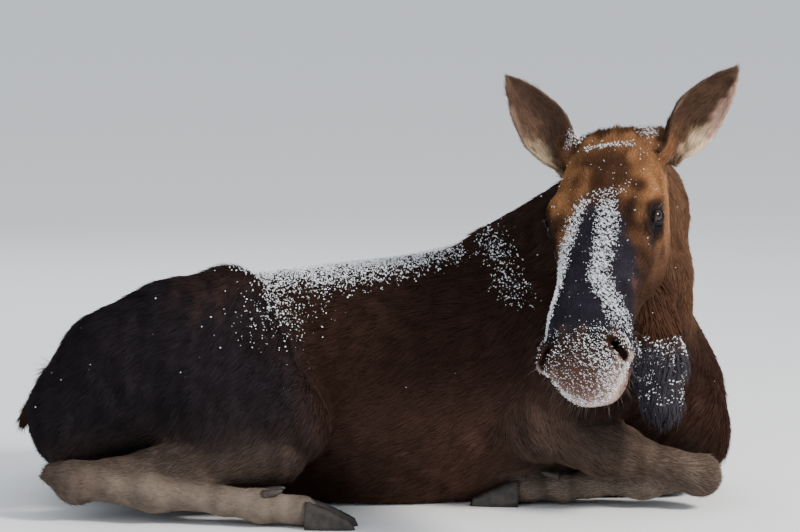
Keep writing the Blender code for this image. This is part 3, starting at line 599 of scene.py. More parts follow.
def head_marks(h, noise):
    """The face in its own axes: orange sides, dark middle, slate bridge, brown nose, pale lip, and painted
    shade on the lower jaw, the chin and the sides of the muzzle.
    """
    x, y, z = h.T
    side = np.abs(y)
    m = mirrored(h)
    c = np.tile(np.array(ORANGE), (len(h), 1))
    c = paint(c, TAN, smooth(-z + 0.02 * noise, 0.045, 0.105) * smooth(x, 0.05, 0.25))
    off_middle = np.abs(y - 0.015 - 0.014 * smooth(x, 0.10, 0.18))
    middle = 1 - smooth(off_middle + 0.010 * noise + 0.006 * ripple(h, 0.15, 6), 0.034, 0.086)
    c = paint(c, UMBER, 0.88 * middle * smooth(x + 0.012 * noise, 0.030, 0.100))
    c = paint(c, UMBER, 0.34 * smooth(x + 0.012 * noise, 0.240, 0.300) * smooth(-z, 0.020, 0.050))
    # Painted shade: the lower part of the jaw is darkened, as shade falls under the head.
    c = paint(c, BROWN, 0.50 * smooth(-z + 0.010 * noise, 0.140, 0.190))
    crown = (1 - smooth(x + 0.010 * noise, 0.000, 0.045)) * (1 - smooth(side, 0.05, 0.10))
    c = paint(c, UMBER, 0.90 * crown)
    past = side - 0.020 - 0.055 * smooth(x, 0.21, 0.40)
    bridge = smooth(x + 0.012 * noise, 0.185, 0.250) * (1 - smooth(past + 0.006 * noise, 0.010, 0.030))
    c = paint(c, SLATE, bridge * smooth(z, -0.12, -0.06))
    # Painted shade: a brown band down each side of the face below the bridge, between the eyes and the
    # nose.
    below = window(x, 0.28, 0.46, 0.05) * window(z + 0.008 * noise, -0.135, -0.060, 0.018)
    c = paint(c, BROWN, 0.75 * below)
    c = paint(c, SLATE, 0.92 * smooth(x + 0.010 * noise, 0.420, 0.500))
    c = paint(c, NOSE_BROWN, smooth(x + 0.014 * noise, 0.565, 0.600))
    top = smooth(z + 0.25 * side + 0.012 * noise, -0.085, -0.030)
    c = paint(c, BROWN, 0.65 * smooth(x, 0.565, 0.600) * top)
    lip = above_lip(y, z)
    low = 1 - smooth(lip - 0.22 * y + 0.008 * noise, -0.006, 0.048)
    c = paint(c, PALE, 0.70 * smooth(x, 0.585, 0.625) * low)
    rim = window(lip + 0.004 * noise, -0.030, -0.004, 0.008)
    c = paint(c, RIM, 0.85 * smooth(x, 0.585, 0.615) * rim)
    # Painted shade: black under the chin and the lower lip, where shade falls below the muzzle.
    c = paint(c, BLACK, smooth(x, 0.42, 0.48) * (1 - smooth(z + 0.008 * noise, -0.192, -0.172)))
    eye = (m - EYE_AT) @ LID_AXES.T
    ring = np.hypot((eye[:, 1] - 0.006) / 1.40, eye[:, 2])
    c = paint(c, UMBER, 0.92 * (1 - smooth(ring + 0.003 * noise, 0.030, 0.046)))
    orbit = np.linalg.norm(m - EYE_AT - (0.014, -0.020, 0.006), axis=1)
    c = paint(c, BROWN, 0.85 * (1 - smooth(orbit + 0.004 * noise, 0.032, 0.052)))
    c = paint(c, BLACK, 0.85 * (1 - smooth(ring + 0.002 * noise, 0.0200, 0.0290)))
    duct = bone(m, EYE_AT + (0.02, 0.01, -0.004), EYE_AT + (0.066, -0.004, -0.018), 0.008, 0.004)
    c = paint(c, BLACK, 0.80 * (1 - smooth(duct, 0.0, 0.012)))
    return paint(c, UMBER, 0.9 * (1 - smooth(from_nostril(m), -0.0020, 0.0070)))


def ear_marks(p, name):
    """Brown in the cup, tan along its outer edge, cream low on that edge, and a dark back."""
    root, along, across, facing = ear_axes(name)
    q = p - root
    s, x = q @ along / EAR_LENGTH, q @ across / (EAR_WIDTH / 2)
    outer = -x if name == "left" else x
    noise = ripple(p, 0.02, 8)
    # This ear's cup darkness and fringe lightness are painted light and shade.
    dark, fringe, edge = EAR_LIGHT_SHADE_EDGE[name]
    c = np.tile(dark * np.array(EAR_DARK), (len(p), 1))
    c = paint(c, EAR_BACK, smooth(outer + 0.06 * noise, 0.45, 0.75))
    c = paint(c, EAR_BACK, smooth(-outer + 0.06 * noise, 0.75, 0.98) * 0.7)
    inwards = outer + 0.06 * noise - edge + 0.8 * (s - 0.40)
    c = paint(c, fringe * np.array(EAR_EDGE), smooth(inwards, 0.00, 0.25) * smooth(s, 0.15, 0.40) * 0.80)
    low = (1 - smooth(s + 0.04 * noise, 0.20, 0.40)) * smooth(outer + 0.08 * noise, 0.20, 0.60)
    c = paint(c, fringe * np.array(CREAM), low)
    return paint(c, EAR_BACK, smooth(s, 0.86, 1.0) * 0.6)


def markings(p, weights):
    """The colour at each place, from the zones that it belongs to."""
    x, y, z = p.T
    noise = ripple(p, 0.060, 3)
    broad = ripple(p, 0.300, 4)
    share = {name: weights[:, i] for i, name in enumerate(NAMES)}
    c = np.tile(np.array(REDDISH), (len(p), 1))
    # Painted light: the low flank is painted paler, as sunlight falls on it.
    flank = window(x + 0.03 * broad, -0.05, 0.36, 0.10) * (1 - smooth(z + 0.02 * noise, 0.20, 0.34))
    c = paint(c, SUNLIT_FLANK, 0.75 * flank)
    c = paint(c, BROWN, smooth(z, 0.40, 0.60) * 0.55)
    # Partly painted shade: the haunch's own near-black hair is darkened and cooled further, as shade falls
    # on it.
    c = paint(c, BLACK, share["thigh"] * smooth(-x + 0.03 * broad, 0.04, 0.24) * 0.88)
    hip = window(x, -0.40, -0.20, 0.05) * smooth(z + 0.02 * noise, 0.42, 0.52)
    c = paint(c, REDDISH, 0.55 * share["thigh"] * hip)
    c = paint(c, BROWN, share["shoulder"] * 0.6)
    c = paint(c, BROWN, share["neck"] * 0.6)
    # Painted light: the front of the throat is painted paler, as sunlight falls on it.
    throat = share["neck"] * smooth(x + 0.01 * noise, 0.58, 0.64) * smooth(z, 0.35, 0.45)
    c = paint(c, TAN, throat * 0.50)
    c = paint(c, UMBER, share["bell"])
    c = paint(c, BELL_TIP, share["bell"] * (1 - smooth(z + 0.010 * noise, 0.385, 0.425)))
    c = paint(c, LEG_GREY, share["cannons"] * 0.9 + share["upper_legs"] * 0.25)
    face = share["skull"] + share["jaw"]
    c = c + (head_marks(to_head(p), noise) - c) * np.clip(face, 0, 1)[:, None]
    for name in EARS:
        c = c + (ear_marks(p, name) - c) * share["ear_" + name][:, None]
    return c * (1 + 0.10 * noise[:, None])


def give_colours(mesh, colours):
    """One colour for each vertex, in the attribute that the materials read."""
    layer = mesh.color_attributes.new("markings", "FLOAT_COLOR", "POINT")
    layer.data.foreach_set("color", np.c_[np.clip(colours, 0, 1), np.ones(len(colours))].ravel())


distances = zone_distances(spots)
weights = zone_weights(distances)
skin_colours = markings(spots, weights)
head_spots = to_head(spots)
# Painted shade: the skin is painted at half its marking, as the coat over it shades it, and at nine tenths
# at the bare tip of the nose.
bald = smooth(head_spots[:, 0], 0.600, 0.620)
give_colours(skin.data, skin_colours * (0.50 + 0.40 * bald)[:, None])
print("skin colours from", skin_colours.min(0).round(3), "to", skin_colours.max(0).round(3))

# %% [markdown]
# ## Which way the hair lies
# Hair grows backwards and downwards: up the face from the nose, down the neck, back along
# the barrel, down the legs, out along the ears. Each zone has a way of its own, and the
# blend of them, laid flat on the skin, turns slowly from zone to zone.
# %% The lie of the coat
def leg_ways(p):
    """The direction down the nearest length of leg, on each side."""
    q = mirrored(p)
    best, way = np.full(len(p), 9.0), np.zeros((len(p), 3))
    for leg in (FORE_LEG, HIND_LEG):
        stops = list(leg.values())
        for (a, r_a), (b, r_b) in zip(stops, stops[1:]):
            a, b = np.array(a), np.array(b)
            d = bone(q, a, b, r_a, r_b)
            closer = d < best
            best[closer] = d[closer]
            way[closer] = (b - a) / np.linalg.norm(b - a)
    way[:, 1] *= np.sign(p[:, 1])
    return way


def lie_of(p, normal, weights):
    """The zones' ways blended by weight, with a slow swirl, less their part along the normal."""
    way = weights @ np.array([ZONES[name][5] for name in NAMES])
    limb = weights[:, NAMES.index("upper_legs")] + weights[:, NAMES.index("cannons")]
    way = way * (1 - limb[:, None]) + leg_ways(p) * limb[:, None]
    h = to_head(p)
    apart = (np.sign(h[:, 1]) * smooth(np.abs(h[:, 1]), 0.0, 0.09) * 0.45)[:, None] * HEAD_AXES[1]
    way = way + apart * (weights[:, NAMES.index("skull")] * smooth(h[:, 0], 0.02, 0.12))[:, None]
    for axis, seed in enumerate((11, 12, 13)):
        way[:, axis] += 0.10 * ripple(p, 0.22, seed) + 0.06 * ripple(p, 0.035, seed + 5)
    way = way - (way * normal).sum(1)[:, None] * normal
    return way / (np.linalg.norm(way, axis=1)[:, None] + 1e-9)


print("on average the hair lies along", lie_of(spots, outward, weights).mean(0).round(2))

# %% [markdown]
# ## Tufts
# Real hair is far too fine to model, but winter hair hangs together in pointed locks. One
# lock here is a three-sided spike: two rings of three corners and a point, closed at the
# root. Arrays hold every lock of a piece at once, so a hundred thousand take a second.
# %% Build locks from arrays
def lock_faces(rings):
    """A root triangle, six triangles between each two rings of three corners, and three to the point."""
    faces = [(0, 2, 1)]
    for a in range(0, 3 * rings - 3, 3):
        faces += [(a, a + 1, a + 4), (a, a + 4, a + 3), (a + 1, a + 2, a + 5), (a + 1, a + 5, a + 4),
                  (a + 2, a, a + 3), (a + 2, a + 3, a + 5)]
    a = 3 * rings - 3
    return np.array(faces + [(a, a + 1, a + 3), (a + 1, a + 2, a + 3), (a + 2, a, a + 3)])


def locks(root, normal, lie, length, width, lift, droop, curl, rings=2, sink=0.0012, flat=0.42):
    """Rings of three corners at shares t of the length. Each lies t cos(lift) out along the lie,
    t sin(lift) - droop t^2 up and curl t^2 aside. Normals lean to the skin's, as soft hair's do."""
    across = np.cross(normal, lie)
    along = length * np.cos(lift)
    places, leans = [], []
    for t in np.linspace(0, 1, rings + 1)[:-1]:
        high = length * (np.sin(lift) * t - droop * t * t) - sink * (1 - t)
        middle = root + lie * (along * t)[:, None] + normal * high[:, None]
        middle = middle + across * (length * curl * t * t)[:, None]
        half = across * (width * (1 - 0.35 * t * t * 2) / 2)[:, None]
        ridge = middle + normal * (width * (1 - 0.7 * t * t) * flat)[:, None]
        places.append(np.stack([middle - half, middle + half, ridge], axis=1))
        leans.append(np.stack([normal - 0.75 * across, normal + 0.75 * across, normal], axis=1))
    high = length * (np.sin(lift) - droop)
    tip = root + lie * along[:, None] + normal * high[:, None] + across * (length * curl)[:, None]
    points = np.concatenate([*places, tip[:, None]], axis=1).reshape(-1, 3)
    leans = np.concatenate([*leans, (normal + 0.25 * lie)[:, None]], axis=1).reshape(-1, 3)
    step = 3 * rings + 1
    triangles = (lock_faces(rings)[None] + step * np.arange(len(root))[:, None, None]).reshape(-1, 3)
    return points, triangles, leans / np.linalg.norm(leans, axis=1)[:, None]


print("a straight lock has", len(lock_faces(1)), "triangles and a bent one", len(lock_faces(2)))

# %% [markdown]
# ## Roots
# Hair is spread evenly, but not in rows. A particle system could scatter it. Here random
# places are drawn on the skin, then all but the first in each small cube are dropped, which
# thins crowds and gives the same places each time.
# %% Spread roots over the skin
CELL_KEYS = (1, 40009, 1600720081)  # turn a cube's three numbers into one
CROWD, CUBE = 1.9, 0.93  # places drawn for each root that is wanted, and a cube's side in spacings


def scatter(region, spacing, seed):
    """Random places on the skin's triangles in a region, about one in each cube of side spacing."""
    dice = np.random.default_rng(seed)
    a, b, c = (spots[ring[:, i]] for i in range(3))
    area = np.linalg.norm(np.cross(b - a, c - a), axis=1) / 2
    chosen = region[ring[:, 0]]
    gap = spacing[ring].mean(axis=1)
    amount = np.where(chosen, area / gap ** 2 * CROWD, 0)
    face = dice.choice(len(ring), size=int(amount.sum()), p=amount / amount.sum())
    u, v = dice.random((2, len(face)))
    flip = u + v > 1
    u[flip], v[flip] = 1 - u[flip], 1 - v[flip]
    share = np.stack([1 - u - v, u, v], axis=1)
    spot = a[face] * share[:, :1] + b[face] * share[:, 1:2] + c[face] * share[:, 2:]
    cell = np.floor(spot / gap[face][:, None] / CUBE)
    _, first = np.unique(cell.astype(np.int64) @ np.array(CELL_KEYS), return_index=True)
    first = np.sort(first)
    return face[first], share[first]


def mixed(values, face, share):
    """Values at places on triangles: each corner's value times its share."""
    return (values[ring[face]] * share[..., None]).sum(axis=1)


face, share = scatter(np.ones(len(spots), dtype=bool), np.full(len(spots), 0.1), 1)
print("at one root in each 0.1 m cube the whole skin has", len(face), "roots")

# %% [markdown]
# ## The unwrap for the locks' colours
# Every lock is one tiny patch on a flat map, at the place of its root on the piece's own
# unwrap. A limb, neck or barrel unwraps as a cylinder does: how far along it, and the angle
# round it. The map is stretched to fill its square.
# %% Cylinder maps
PATCH = 0.003  # how wide a lock's patch is on the map


def cylinder_map(p, start, end):
    """u is the distance from start towards end; v is the angle round that line; both are made 0 to 1."""
    a, b = np.array(start), np.array(end)
    axis = (b - a) / np.linalg.norm(b - a)
    side = np.cross(axis, (0.1, 0.2, 1.0))
    side /= np.linalg.norm(side)
    q = p - a
    u, v = q @ axis, np.arctan2(q @ np.cross(axis, side), q @ side)
    flat = np.stack([u, v], axis=1)
    low, high = flat.min(0), flat.max(0)
    return 0.004 + 0.992 * (flat - low) / (high - low)


def give_patches(mesh, flat, lock, across, along):
    """A patch at each lock's root: its corners lie across and along the lock."""
    layer = mesh.uv_layers.new(name="OFBake")
    uv = flat[lock] + PATCH / 2 * np.stack([across, along], axis=1)
    order = np.empty(len(mesh.loops), dtype=np.int32)
    mesh.loops.foreach_get("vertex_index", order)
    layer.data.foreach_set("uv", np.clip(uv, 0, 1)[order].ravel())


along_face = cylinder_map(head_spots, (0, 0, -0.09), (0.6, 0, -0.09))
print("a lock at the poll starts at", along_face[np.linalg.norm(head_spots, axis=1).argmin()].round(3))

# %% [markdown]
# ## Pieces of coat
# The coat is made in pieces, one for each part of the body. Roots are closest on the face
# and feet, where the hair is shortest, and a little noise in colour, length and direction
# keeps the locks from looking combed.
# %% Where hair grows, and in which piece
EYE_CLEAR, NOSTRIL_CLEAR, FLOOR_CLEAR = 0.0265, 0.0032, 0.0075  # bare up to these distances
zone = distances.argmin(axis=1)
folded_spots = mirrored(head_spots)
bare = np.linalg.norm(folded_spots - EYE_AT, axis=1) < EYE_CLEAR
bare |= from_nostril(folded_spots) < NOSTRIL_CLEAR
bare |= spots[:, 2] < FLOOR_CLEAR


def is_zone(*names):
    """The hairy skin that is nearest to the named zones' forms."""
    return np.isin(zone, [NAMES.index(name) for name in names]) & ~bare


right, front, before_eyes = spots[:, 1] < 0, spots[:, 0] > 0.05, head_spots[:, 0] > 0.20
skull_skin, barrel, haunch = is_zone("skull"), is_zone("trunk") & ~front, is_zone("thigh", "tail")
FACE_LINE = from_head([(0, 0, -0.09), (0.6, 0, -0.09)])
JAW_LINE = from_head([(0, 0, -0.15), (0.6, 0, -0.15)])
EAR_LINE = (ear_axes("right")[0], ear_axes("left")[0])
NECK_LINE = ((0.53, -0.35, 0.55), (0.50, 0.05, 0.35))
BELL_LINE = ((0.60, -0.35, 0.60), (0.60, -0.35, 0.20))
BARREL_LINE, WITHERS_LINE = ((-0.8, 0, 0.20), (0.8, 0, 0.20)), ((-0.8, 0, 0.25), (0.8, 0, 0.25))
SHOULDER_LINE, LEG_LINE = ((0, 0, 0.30), (0.8, 0, 0.30)), ((-0.7, 0, 0.06), (0.8, 0, 0.06))
HAUNCH_LINES = [((-0.8, y, 0.18), (-0.1, y, 0.18)) for y in (-0.1, 0.1)]
PIECES = {  # the skin it covers, spacing of the roots, rings in a lock, the line of its cylinder map
    "coat_face": (skull_skin & before_eyes, 0.00225, 1, FACE_LINE),
    "coat_brow": (skull_skin & ~before_eyes, 0.0025, 1, FACE_LINE),
    "coat_jaw": (is_zone("jaw"), 0.0040, 2, JAW_LINE),
    "coat_ears": (is_zone("ear_left", "ear_right"), 0.0027, 1, EAR_LINE),
    "coat_neck": (is_zone("neck"), 0.0031, 1, NECK_LINE),
    "coat_bell": (is_zone("bell"), 0.0040, 2, BELL_LINE),
    "coat_barrel_right": (barrel & right, 0.0036, 1, BARREL_LINE),
    "coat_barrel_left": (barrel & ~right, 0.0042, 1, BARREL_LINE),
    "coat_withers": (is_zone("trunk") & front, 0.0040, 1, WITHERS_LINE),
    "coat_shoulders": (is_zone("shoulder"), 0.0037, 1, SHOULDER_LINE),
    "coat_haunch_right": (haunch & right, 0.0034, 1, HAUNCH_LINES[0]),
    "coat_haunch_left": (haunch & ~right, 0.0041, 1, HAUNCH_LINES[1]),
    "coat_legs": (is_zone("upper_legs", "cannons"), 0.0036, 1, LEG_LINE),
}
print("hair grows on", round(100 * (1 - bare.mean()), 1), "percent of the skin's corners")

# %% [markdown]
# Each lock is painted darker at its root and paler at its point: painted shade deep in the
# coat and painted light on its point. Its colour is the marking at its root, and its corners'
# places on its patch also give the strands' pattern a direction.
# %% Grow the coat
FLOOR_GAP = 0.0015  # no hair hangs lower
ACROSS = {1: (-0.9, 0.9, 0, 0), 2: (-0.9, 0.9, 0, -0.8, 0.8, 0, 0)}  # a lock's corners on its patch
ALONG = {1: (-0.9, -0.9, -0.9, 0.9), 2: (-0.9, -0.9, -0.9, 0.1, 0.1, 0.1, 0.9)}
# Painted shade at each lock's root and painted light at its point, as factors on the marking.
LOCK_SHADE_AND_LIGHT = {1: (0.70, 0.70, 0.85, 1.20), 2: (0.62, 0.62, 0.75, 0.95, 0.95, 1.10, 1.30)}


def grow(name, region, spacing, rings, line, seed):
    """Roots on the region, their zones' hair, and the locks, with colours and patches."""
    dice = np.random.default_rng(seed)
    face, share = scatter(region, np.full(len(spots), spacing), seed)
    root = mixed(spots, face, share)
    normal = mixed(outward, face, share)
    normal /= np.linalg.norm(normal, axis=1)[:, None]
    w = mixed(weights, face, share)
    lie = lie_of(root, normal, w)
    h = to_head(root)
    face_share = w[:, NAMES.index("skull")]
    long = blended(w, 2) * (1 - 0.45 * face_share * smooth(h[:, 0], 0.40, 0.60))
    long = long * (1 + 0.9 * face_share * (1 - smooth(h[:, 0], 0.00, 0.10)))
    near_eye = np.linalg.norm(mirrored(h) - EYE_AT, axis=1)
    long = long * (0.45 + 0.55 * smooth(near_eye, 0.028, 0.060))
    long = long * dice.uniform(0.70, 1.25, len(root)) * (1 + 0.16 * ripple(root, 0.03, 21))
    wide = blended(w, 3) * dice.uniform(0.65, 1.25, len(root))
    lift = np.radians(blended(w, 4) * dice.uniform(0.5, 1.5, len(root)))
    lift = lift * (1 + 0.25 * ripple(root, 0.05, 22)) * (0.25 + 0.75 * smooth(root[:, 2], 0.0, 0.06))
    curl = dice.normal(0, 0.08, len(root)) + 0.08 * ripple(root, 0.04, 23)
    droop = np.sin(lift) * (0.62 if rings > 1 else 0.25)
    points, triangles, leans = locks(root, normal, lie, long, wide, lift, droop, curl, rings)
    points[:, 2] = np.maximum(points[:, 2], FLOOR_GAP)
    mesh = mesh_from(name, points, triangles)
    colour = markings(root, w) * dice.uniform(0.75, 1.28, len(root))[:, None]
    # Each lock's colour, painted darker at the root and paler at the point.
    give_colours(mesh, (colour[:, None] * np.array(LOCK_SHADE_AND_LIGHT[rings])[None, :, None]).reshape(-1, 3))
    lock = np.arange(len(points)) // (3 * rings + 1)
    across, along = np.tile(ACROSS[rings], len(root)), np.tile(ALONG[rings], len(root))
    give_patches(mesh, cylinder_map(root, *line), lock, across, along)
    strand = mesh.attributes.new("strand", "FLOAT_VECTOR", "POINT")
    pick = dice.uniform(0, 60, len(root))[lock]
    grain = np.stack([across * 1.2 + pick, along * 0.35, pick * 3], axis=1)
    strand.data.foreach_set("vector", grain.ravel())
    mesh.shade_smooth()
    mesh.normals_split_custom_set_from_vertices(leans)
    return place(name, mesh)


coat = []
for number, (name, (region, spacing, rings, line)) in enumerate(PIECES.items()):
    coat.append(grow(name, region, spacing, rings, line, 100 + number))
    print(name, len(coat[-1].data.polygons), "triangles")
print("coat", sum(len(piece.data.polygons) for piece in coat), "triangles")

# %% [markdown]
# ## Eyes
# A moose's eye is large, dark brown and glossy, with a pupil that lies along the lids. The
# ball is a grid of two angles with a low dome over the iris for the cornea, and its colours
# are worked out from the same two angles.
# %% Eyeballs
def grid_faces(rows, columns, round_rows=False):
    """Triangles of a grid that closes on itself along its columns, and along its rows if asked."""
    i, j = np.meshgrid(np.arange(rows if round_rows else rows - 1), np.arange(columns), indexing="ij")
    a, b = i * columns + j, i * columns + (j + 1) % columns
    c, d = (i + 1) % rows * columns + (j + 1) % columns, (i + 1) % rows * columns + j
    halves = [np.stack(corners, -1).reshape(-1, 3) for corners in ((a, b, c), (a, c, d))]
    return np.concatenate(halves)


def facing_out(body):
    """Turns every face of a closed piece outwards, and reads its normals again."""
    work = bmesh.new()
    work.from_mesh(body.data)
    bmesh.ops.remove_doubles(work, verts=work.verts, dist=1e-6)
    bmesh.ops.recalc_face_normals(work, faces=work.faces)
    work.to_mesh(body.data)
    work.free()
    body.data.shade_smooth()
    return body


def from_eye(local, side):
    """Places in the eye's frame, from its centre, into the world; the right eye is the mirror."""
    h = EYE_AT + local @ LID_AXES
    return from_head(h * (1, side, 1))


def ways_at(tilt, spin):
    """Unit directions that lean from the gaze by tilt, towards the side that spin says."""
    return np.stack([np.cos(tilt), np.sin(tilt) * np.cos(spin), np.sin(tilt) * np.sin(spin)], -1)


SIDES = (("left", 1), ("right", -1))
TILTS, SPINS = 60, 64
WHITE, IRIS_EDGE, IRIS = (0.040, 0.026, 0.020), (0.016, 0.008, 0.004), (0.036, 0.016, 0.006)
PUPIL = (0.0015, 0.0015, 0.0025)
eyes = {}
for name, side in SIDES:
    spin = np.linspace(0, 2 * np.pi, SPINS, endpoint=False)
    tilt, spin = np.meshgrid(np.linspace(0, np.pi, TILTS), spin, indexing="ij")
    dome = 0.0016 * np.clip(1 - (np.degrees(tilt) / 42) ** 2, 0, 1)
    radius = EYE_RADIUS - 0.0008 + dome
    ball = from_eye((ways_at(tilt, spin) * radius[..., None]).reshape(-1, 3), side)
    eye = place("eyeball_" + name, mesh_from("eyeball_" + name, ball, grid_faces(TILTS, SPINS)))
    wide, tall = np.degrees(tilt * np.cos(spin)).ravel(), np.degrees(tilt * np.sin(spin)).ravel()
    out = np.hypot(wide, tall)
    c = np.tile(np.array(WHITE), (len(out), 1))
    c = paint(c, IRIS_EDGE, 1 - smooth(out, 39, 47))
    rays = 0.7 + 0.3 * np.cos(24 * spin.ravel())
    c = paint(c, IRIS, (1 - smooth(out, 24, 42)) * rays)
    c = paint(c, PUPIL, 1 - smooth(np.hypot(wide / 27, tall / 16), 0.80, 1.10))
    give_colours(eye.data, c)
    eyes[name] = facing_out(eye)
print("eyeballs", [len(eye.data.polygons) for eye in eyes.values()])

# %% [markdown]
# ## Lids
# The lids wrap the ball. Each place on them is a direction from the ball's centre and a
# distance along it: from under the margin, over its rounded edge, along the lid, through a
# crease and out until it dives under the skin. The inner ring joins the last one, so the
# piece is closed.
# %% Lids
LID_STEPS = (  # how far from the opening to the rim, and how high over the ball or the skin
    (-0.060, 0.0002), (-0.010, 0.0004), (0.000, 0.0014), (0.014, 0.0024), (0.045, 0.0031),
    (0.11, 0.0035), (0.19, 0.0037), (0.27, 0.0034), (0.34, 0.0020), (0.40, 0.0023), (0.47, 0.0036),
    (0.56, 0.0040), (0.68, 0.0030), (0.84, 0.0020), (1.00, -0.0040))
AROUND = 84


def skin_reach(ways, side):
    """How far from the ball's centre the skin is along each direction: the last place inside it."""
    reach = np.arange(0.060, 0.016, -0.0008)
    places = from_eye(ways[:, None] * reach[:, None], side)
    inside = skin_field(places.reshape(-1, 3)).reshape(len(ways), -1) < 0
    return np.where(inside.any(axis=1), reach[inside.argmax(axis=1)], EYE_RADIUS + 0.003)


lids = {}
for name, side in SIDES:
    spin = np.linspace(0, 2 * np.pi, AROUND, endpoint=False)[None]
    steps, heights = np.array(LID_STEPS).T[:, :, None]
    upper = np.clip(np.sin(spin), 0, 1)
    wide = (53 + 18 * steps) * np.cos(spin)
    tall = (33 + 34 * np.clip(steps, -0.1, 1) + 2 * upper * (steps > 0.1)) * np.sin(spin)
    tall = tall * ((1 - steps) * np.abs(np.sin(spin)) ** 0.35 + np.clip(steps, 0, 1)) + 0.05 * wide
    tilt, turn = np.radians(np.hypot(wide, tall)), np.arctan2(tall, wide)
    ways = ways_at(tilt, turn).reshape(-1, 3)
    skin_at = skin_reach(ways, side).reshape(tilt.shape)
    on_ball = EYE_RADIUS + heights + 0.0010 * upper * (steps > 0.02)
    share = smooth(steps, 0.36, 0.86)
    radius = on_ball * (1 - share) + (skin_at + np.where(steps > 0.9, heights, 0.0006)) * share
    radius[-1] = np.minimum(radius[-1], skin_at[-1] - 0.003)
    rings = from_eye(ways * radius.reshape(-1, 1), side)
    faces = grid_faces(len(LID_STEPS), AROUND, True)
    lid = place("lids_" + name, mesh_from("lids_" + name, rings, faces))
    c = head_marks(to_head(rings), np.zeros(len(rings)))
    c = paint(c, BLACK, 1 - smooth(np.repeat(steps.ravel(), AROUND), 0.35, 0.75))
    give_colours(lid.data, c)
    lids[name] = facing_out(lid)
print("lids", [len(lid.data.polygons) for lid in lids.values()])

# %% [markdown]
# ## Hooves
# Each foot has two pointed claws side by side, and two small dewclaws above the heel. A
# claw is a low arch that narrows and falls towards its toe: rings of the arch are carried
# from the hairline to the toe. The dewclaws are short blunt cones.
# %% Claws and dewclaws
HOOF_LENGTH, HOOF_WIDTH, HOOF_HEIGHT = 0.105, 0.0415, 0.062
GAP = 0.0005
UP = np.array((0, 0, 1.0))


def capped(name, rings):
    """A closed piece from rings of places: sides between the rings and a fan at each end."""
    rows, columns = rings.shape[:2]
    ends = rings[[0, -1]].mean(axis=1)
    points = np.concatenate([rings.reshape(-1, 3), ends])
    j = np.arange(columns)
    first = np.stack([np.full(columns, rows * columns), (j + 1) % columns, j], -1)
    last = (rows - 1) * columns + np.stack([j, (j + 1) % columns, np.full(columns, columns + 1)], -1)
    faces = np.concatenate([grid_faces(rows, columns), first, last])
    return facing_out(place(name, mesh_from(name, points, faces)))


def claw(name, root, forward, across, lean):
    """Rings at share s of the length: height 1 - 0.72 s^1.3, width 1 - 0.62 s^2.2, leaning by s^2."""
    s = np.linspace(0, 1, 16)[:, None]
    turn = np.linspace(0, 2 * np.pi, 32, endpoint=False)[None]
    ease = np.sqrt(np.clip(1 - np.clip((s - 0.93) / 0.07, 0, 1) ** 2, 0.06, 1))
    tall = HOOF_HEIGHT * (1 - 0.72 * s ** 1.3) * ease * (1 + 0.010 * np.sin(s * 40))
    wide = HOOF_WIDTH * (1 - 0.62 * s ** 2.2) * ease * (1 + 0.008 * np.sin(s * 40))
    y = np.sign(np.cos(turn)) * np.abs(np.cos(turn)) ** 0.8 * wide / 2 + lean * s ** 2
    z = np.clip(np.sin(turn), 0, 1) ** 0.9 * np.maximum(tall - 0.004, 0.003) + 0 * s
    x = HOOF_LENGTH * s + 0 * turn
    return capped(name, root + x[..., None] * forward + y[..., None] * across + z[..., None] * UP)


def dewclaw(name, root, tip):
    """Rings round the line from root to tip, with a radius that falls from 11 to 5 mm and closes."""
    s = np.linspace(0, 1, 9)[:, None]
    turn = np.linspace(0, 2 * np.pi, 16, endpoint=False)[None]
    axis = (tip - root) / np.linalg.norm(tip - root)
    side = np.cross(axis, UP)
    side /= np.linalg.norm(side)
    radius = (0.0112 - 0.0064 * s) * np.sqrt(np.clip(1 - np.clip((s - 0.7) / 0.3, 0, 1) ** 2, 0.05, 1))
    ring = np.cos(turn)[..., None] * side + np.sin(turn)[..., None] * np.cross(axis, side)
    return capped(name, root + s[..., None] * (tip - root) + radius[..., None] * ring)


hooves = {}
for limb, leg in (("fore", FORE_LEG), ("hind", HIND_LEG)):
    for name, side in SIDES:
        (start, thick), (end, _) = leg["fetlock"], leg["foot"]
        start, end = np.array(start) * (1, side, 1), np.array(end) * (1, side, 1)
        forward = (end - start) * (1, 1, 0)
        forward /= np.linalg.norm(forward)
        across = np.cross(UP, forward)
        for sign in (-1, 1):
            where = "inner" if sign * across[1] * side < 0 else "outer"
            root = end * (1, 1, 0) + across * sign * (0.021 + GAP) + forward * 0.010
            toe = claw(f"hoof_{limb}_{name}_{where}", root, forward, across, sign * 0.004)
            hooves[f"{limb}_hoof_{name}_{where}"] = toe
            root = start + across * sign * 0.020 + thick * 0.62 * UP + forward * 0.012
            tip = root + forward * 0.040 + 0.010 * UP
            small = dewclaw(f"small_claw_{limb}_{name}_{where}", root, tip)
            hooves[f"{limb}_dewclaw_{name}_{where}"] = small
print(len(hooves), "claws and dewclaws")

# %% [markdown]
# ## Whiskers and lashes
# Long stiff hairs stand out of the muzzle and chin, and lashes shade the eyes. They are the
# same spikes as the coat's locks, only much thinner.
# %% Whiskers and lashes
def spikes(name, root, way, lengths, width, bend, colour):
    """Thin locks that leave their roots along a given way, with lengths drawn between two limits."""
    way = way / np.linalg.norm(way, axis=1)[:, None]
    length, width = rng.uniform(*lengths, len(root)), np.full(len(root), width)
    side = np.cross(way, (0.3, 0.2, 1.0))
    up = np.cross(side, way)
    up /= np.linalg.norm(up, axis=1)[:, None]
    nil = np.zeros(len(root))
    points, triangles, _ = locks(root, up, way, length, width, nil, nil + bend, nil, sink=0.0, flat=0.8)
    mesh = mesh_from(name, points, triangles)
    give_colours(mesh, np.tile(np.array(colour), (len(points), 1)))
    mesh.shade_smooth()
    return place(name, mesh)


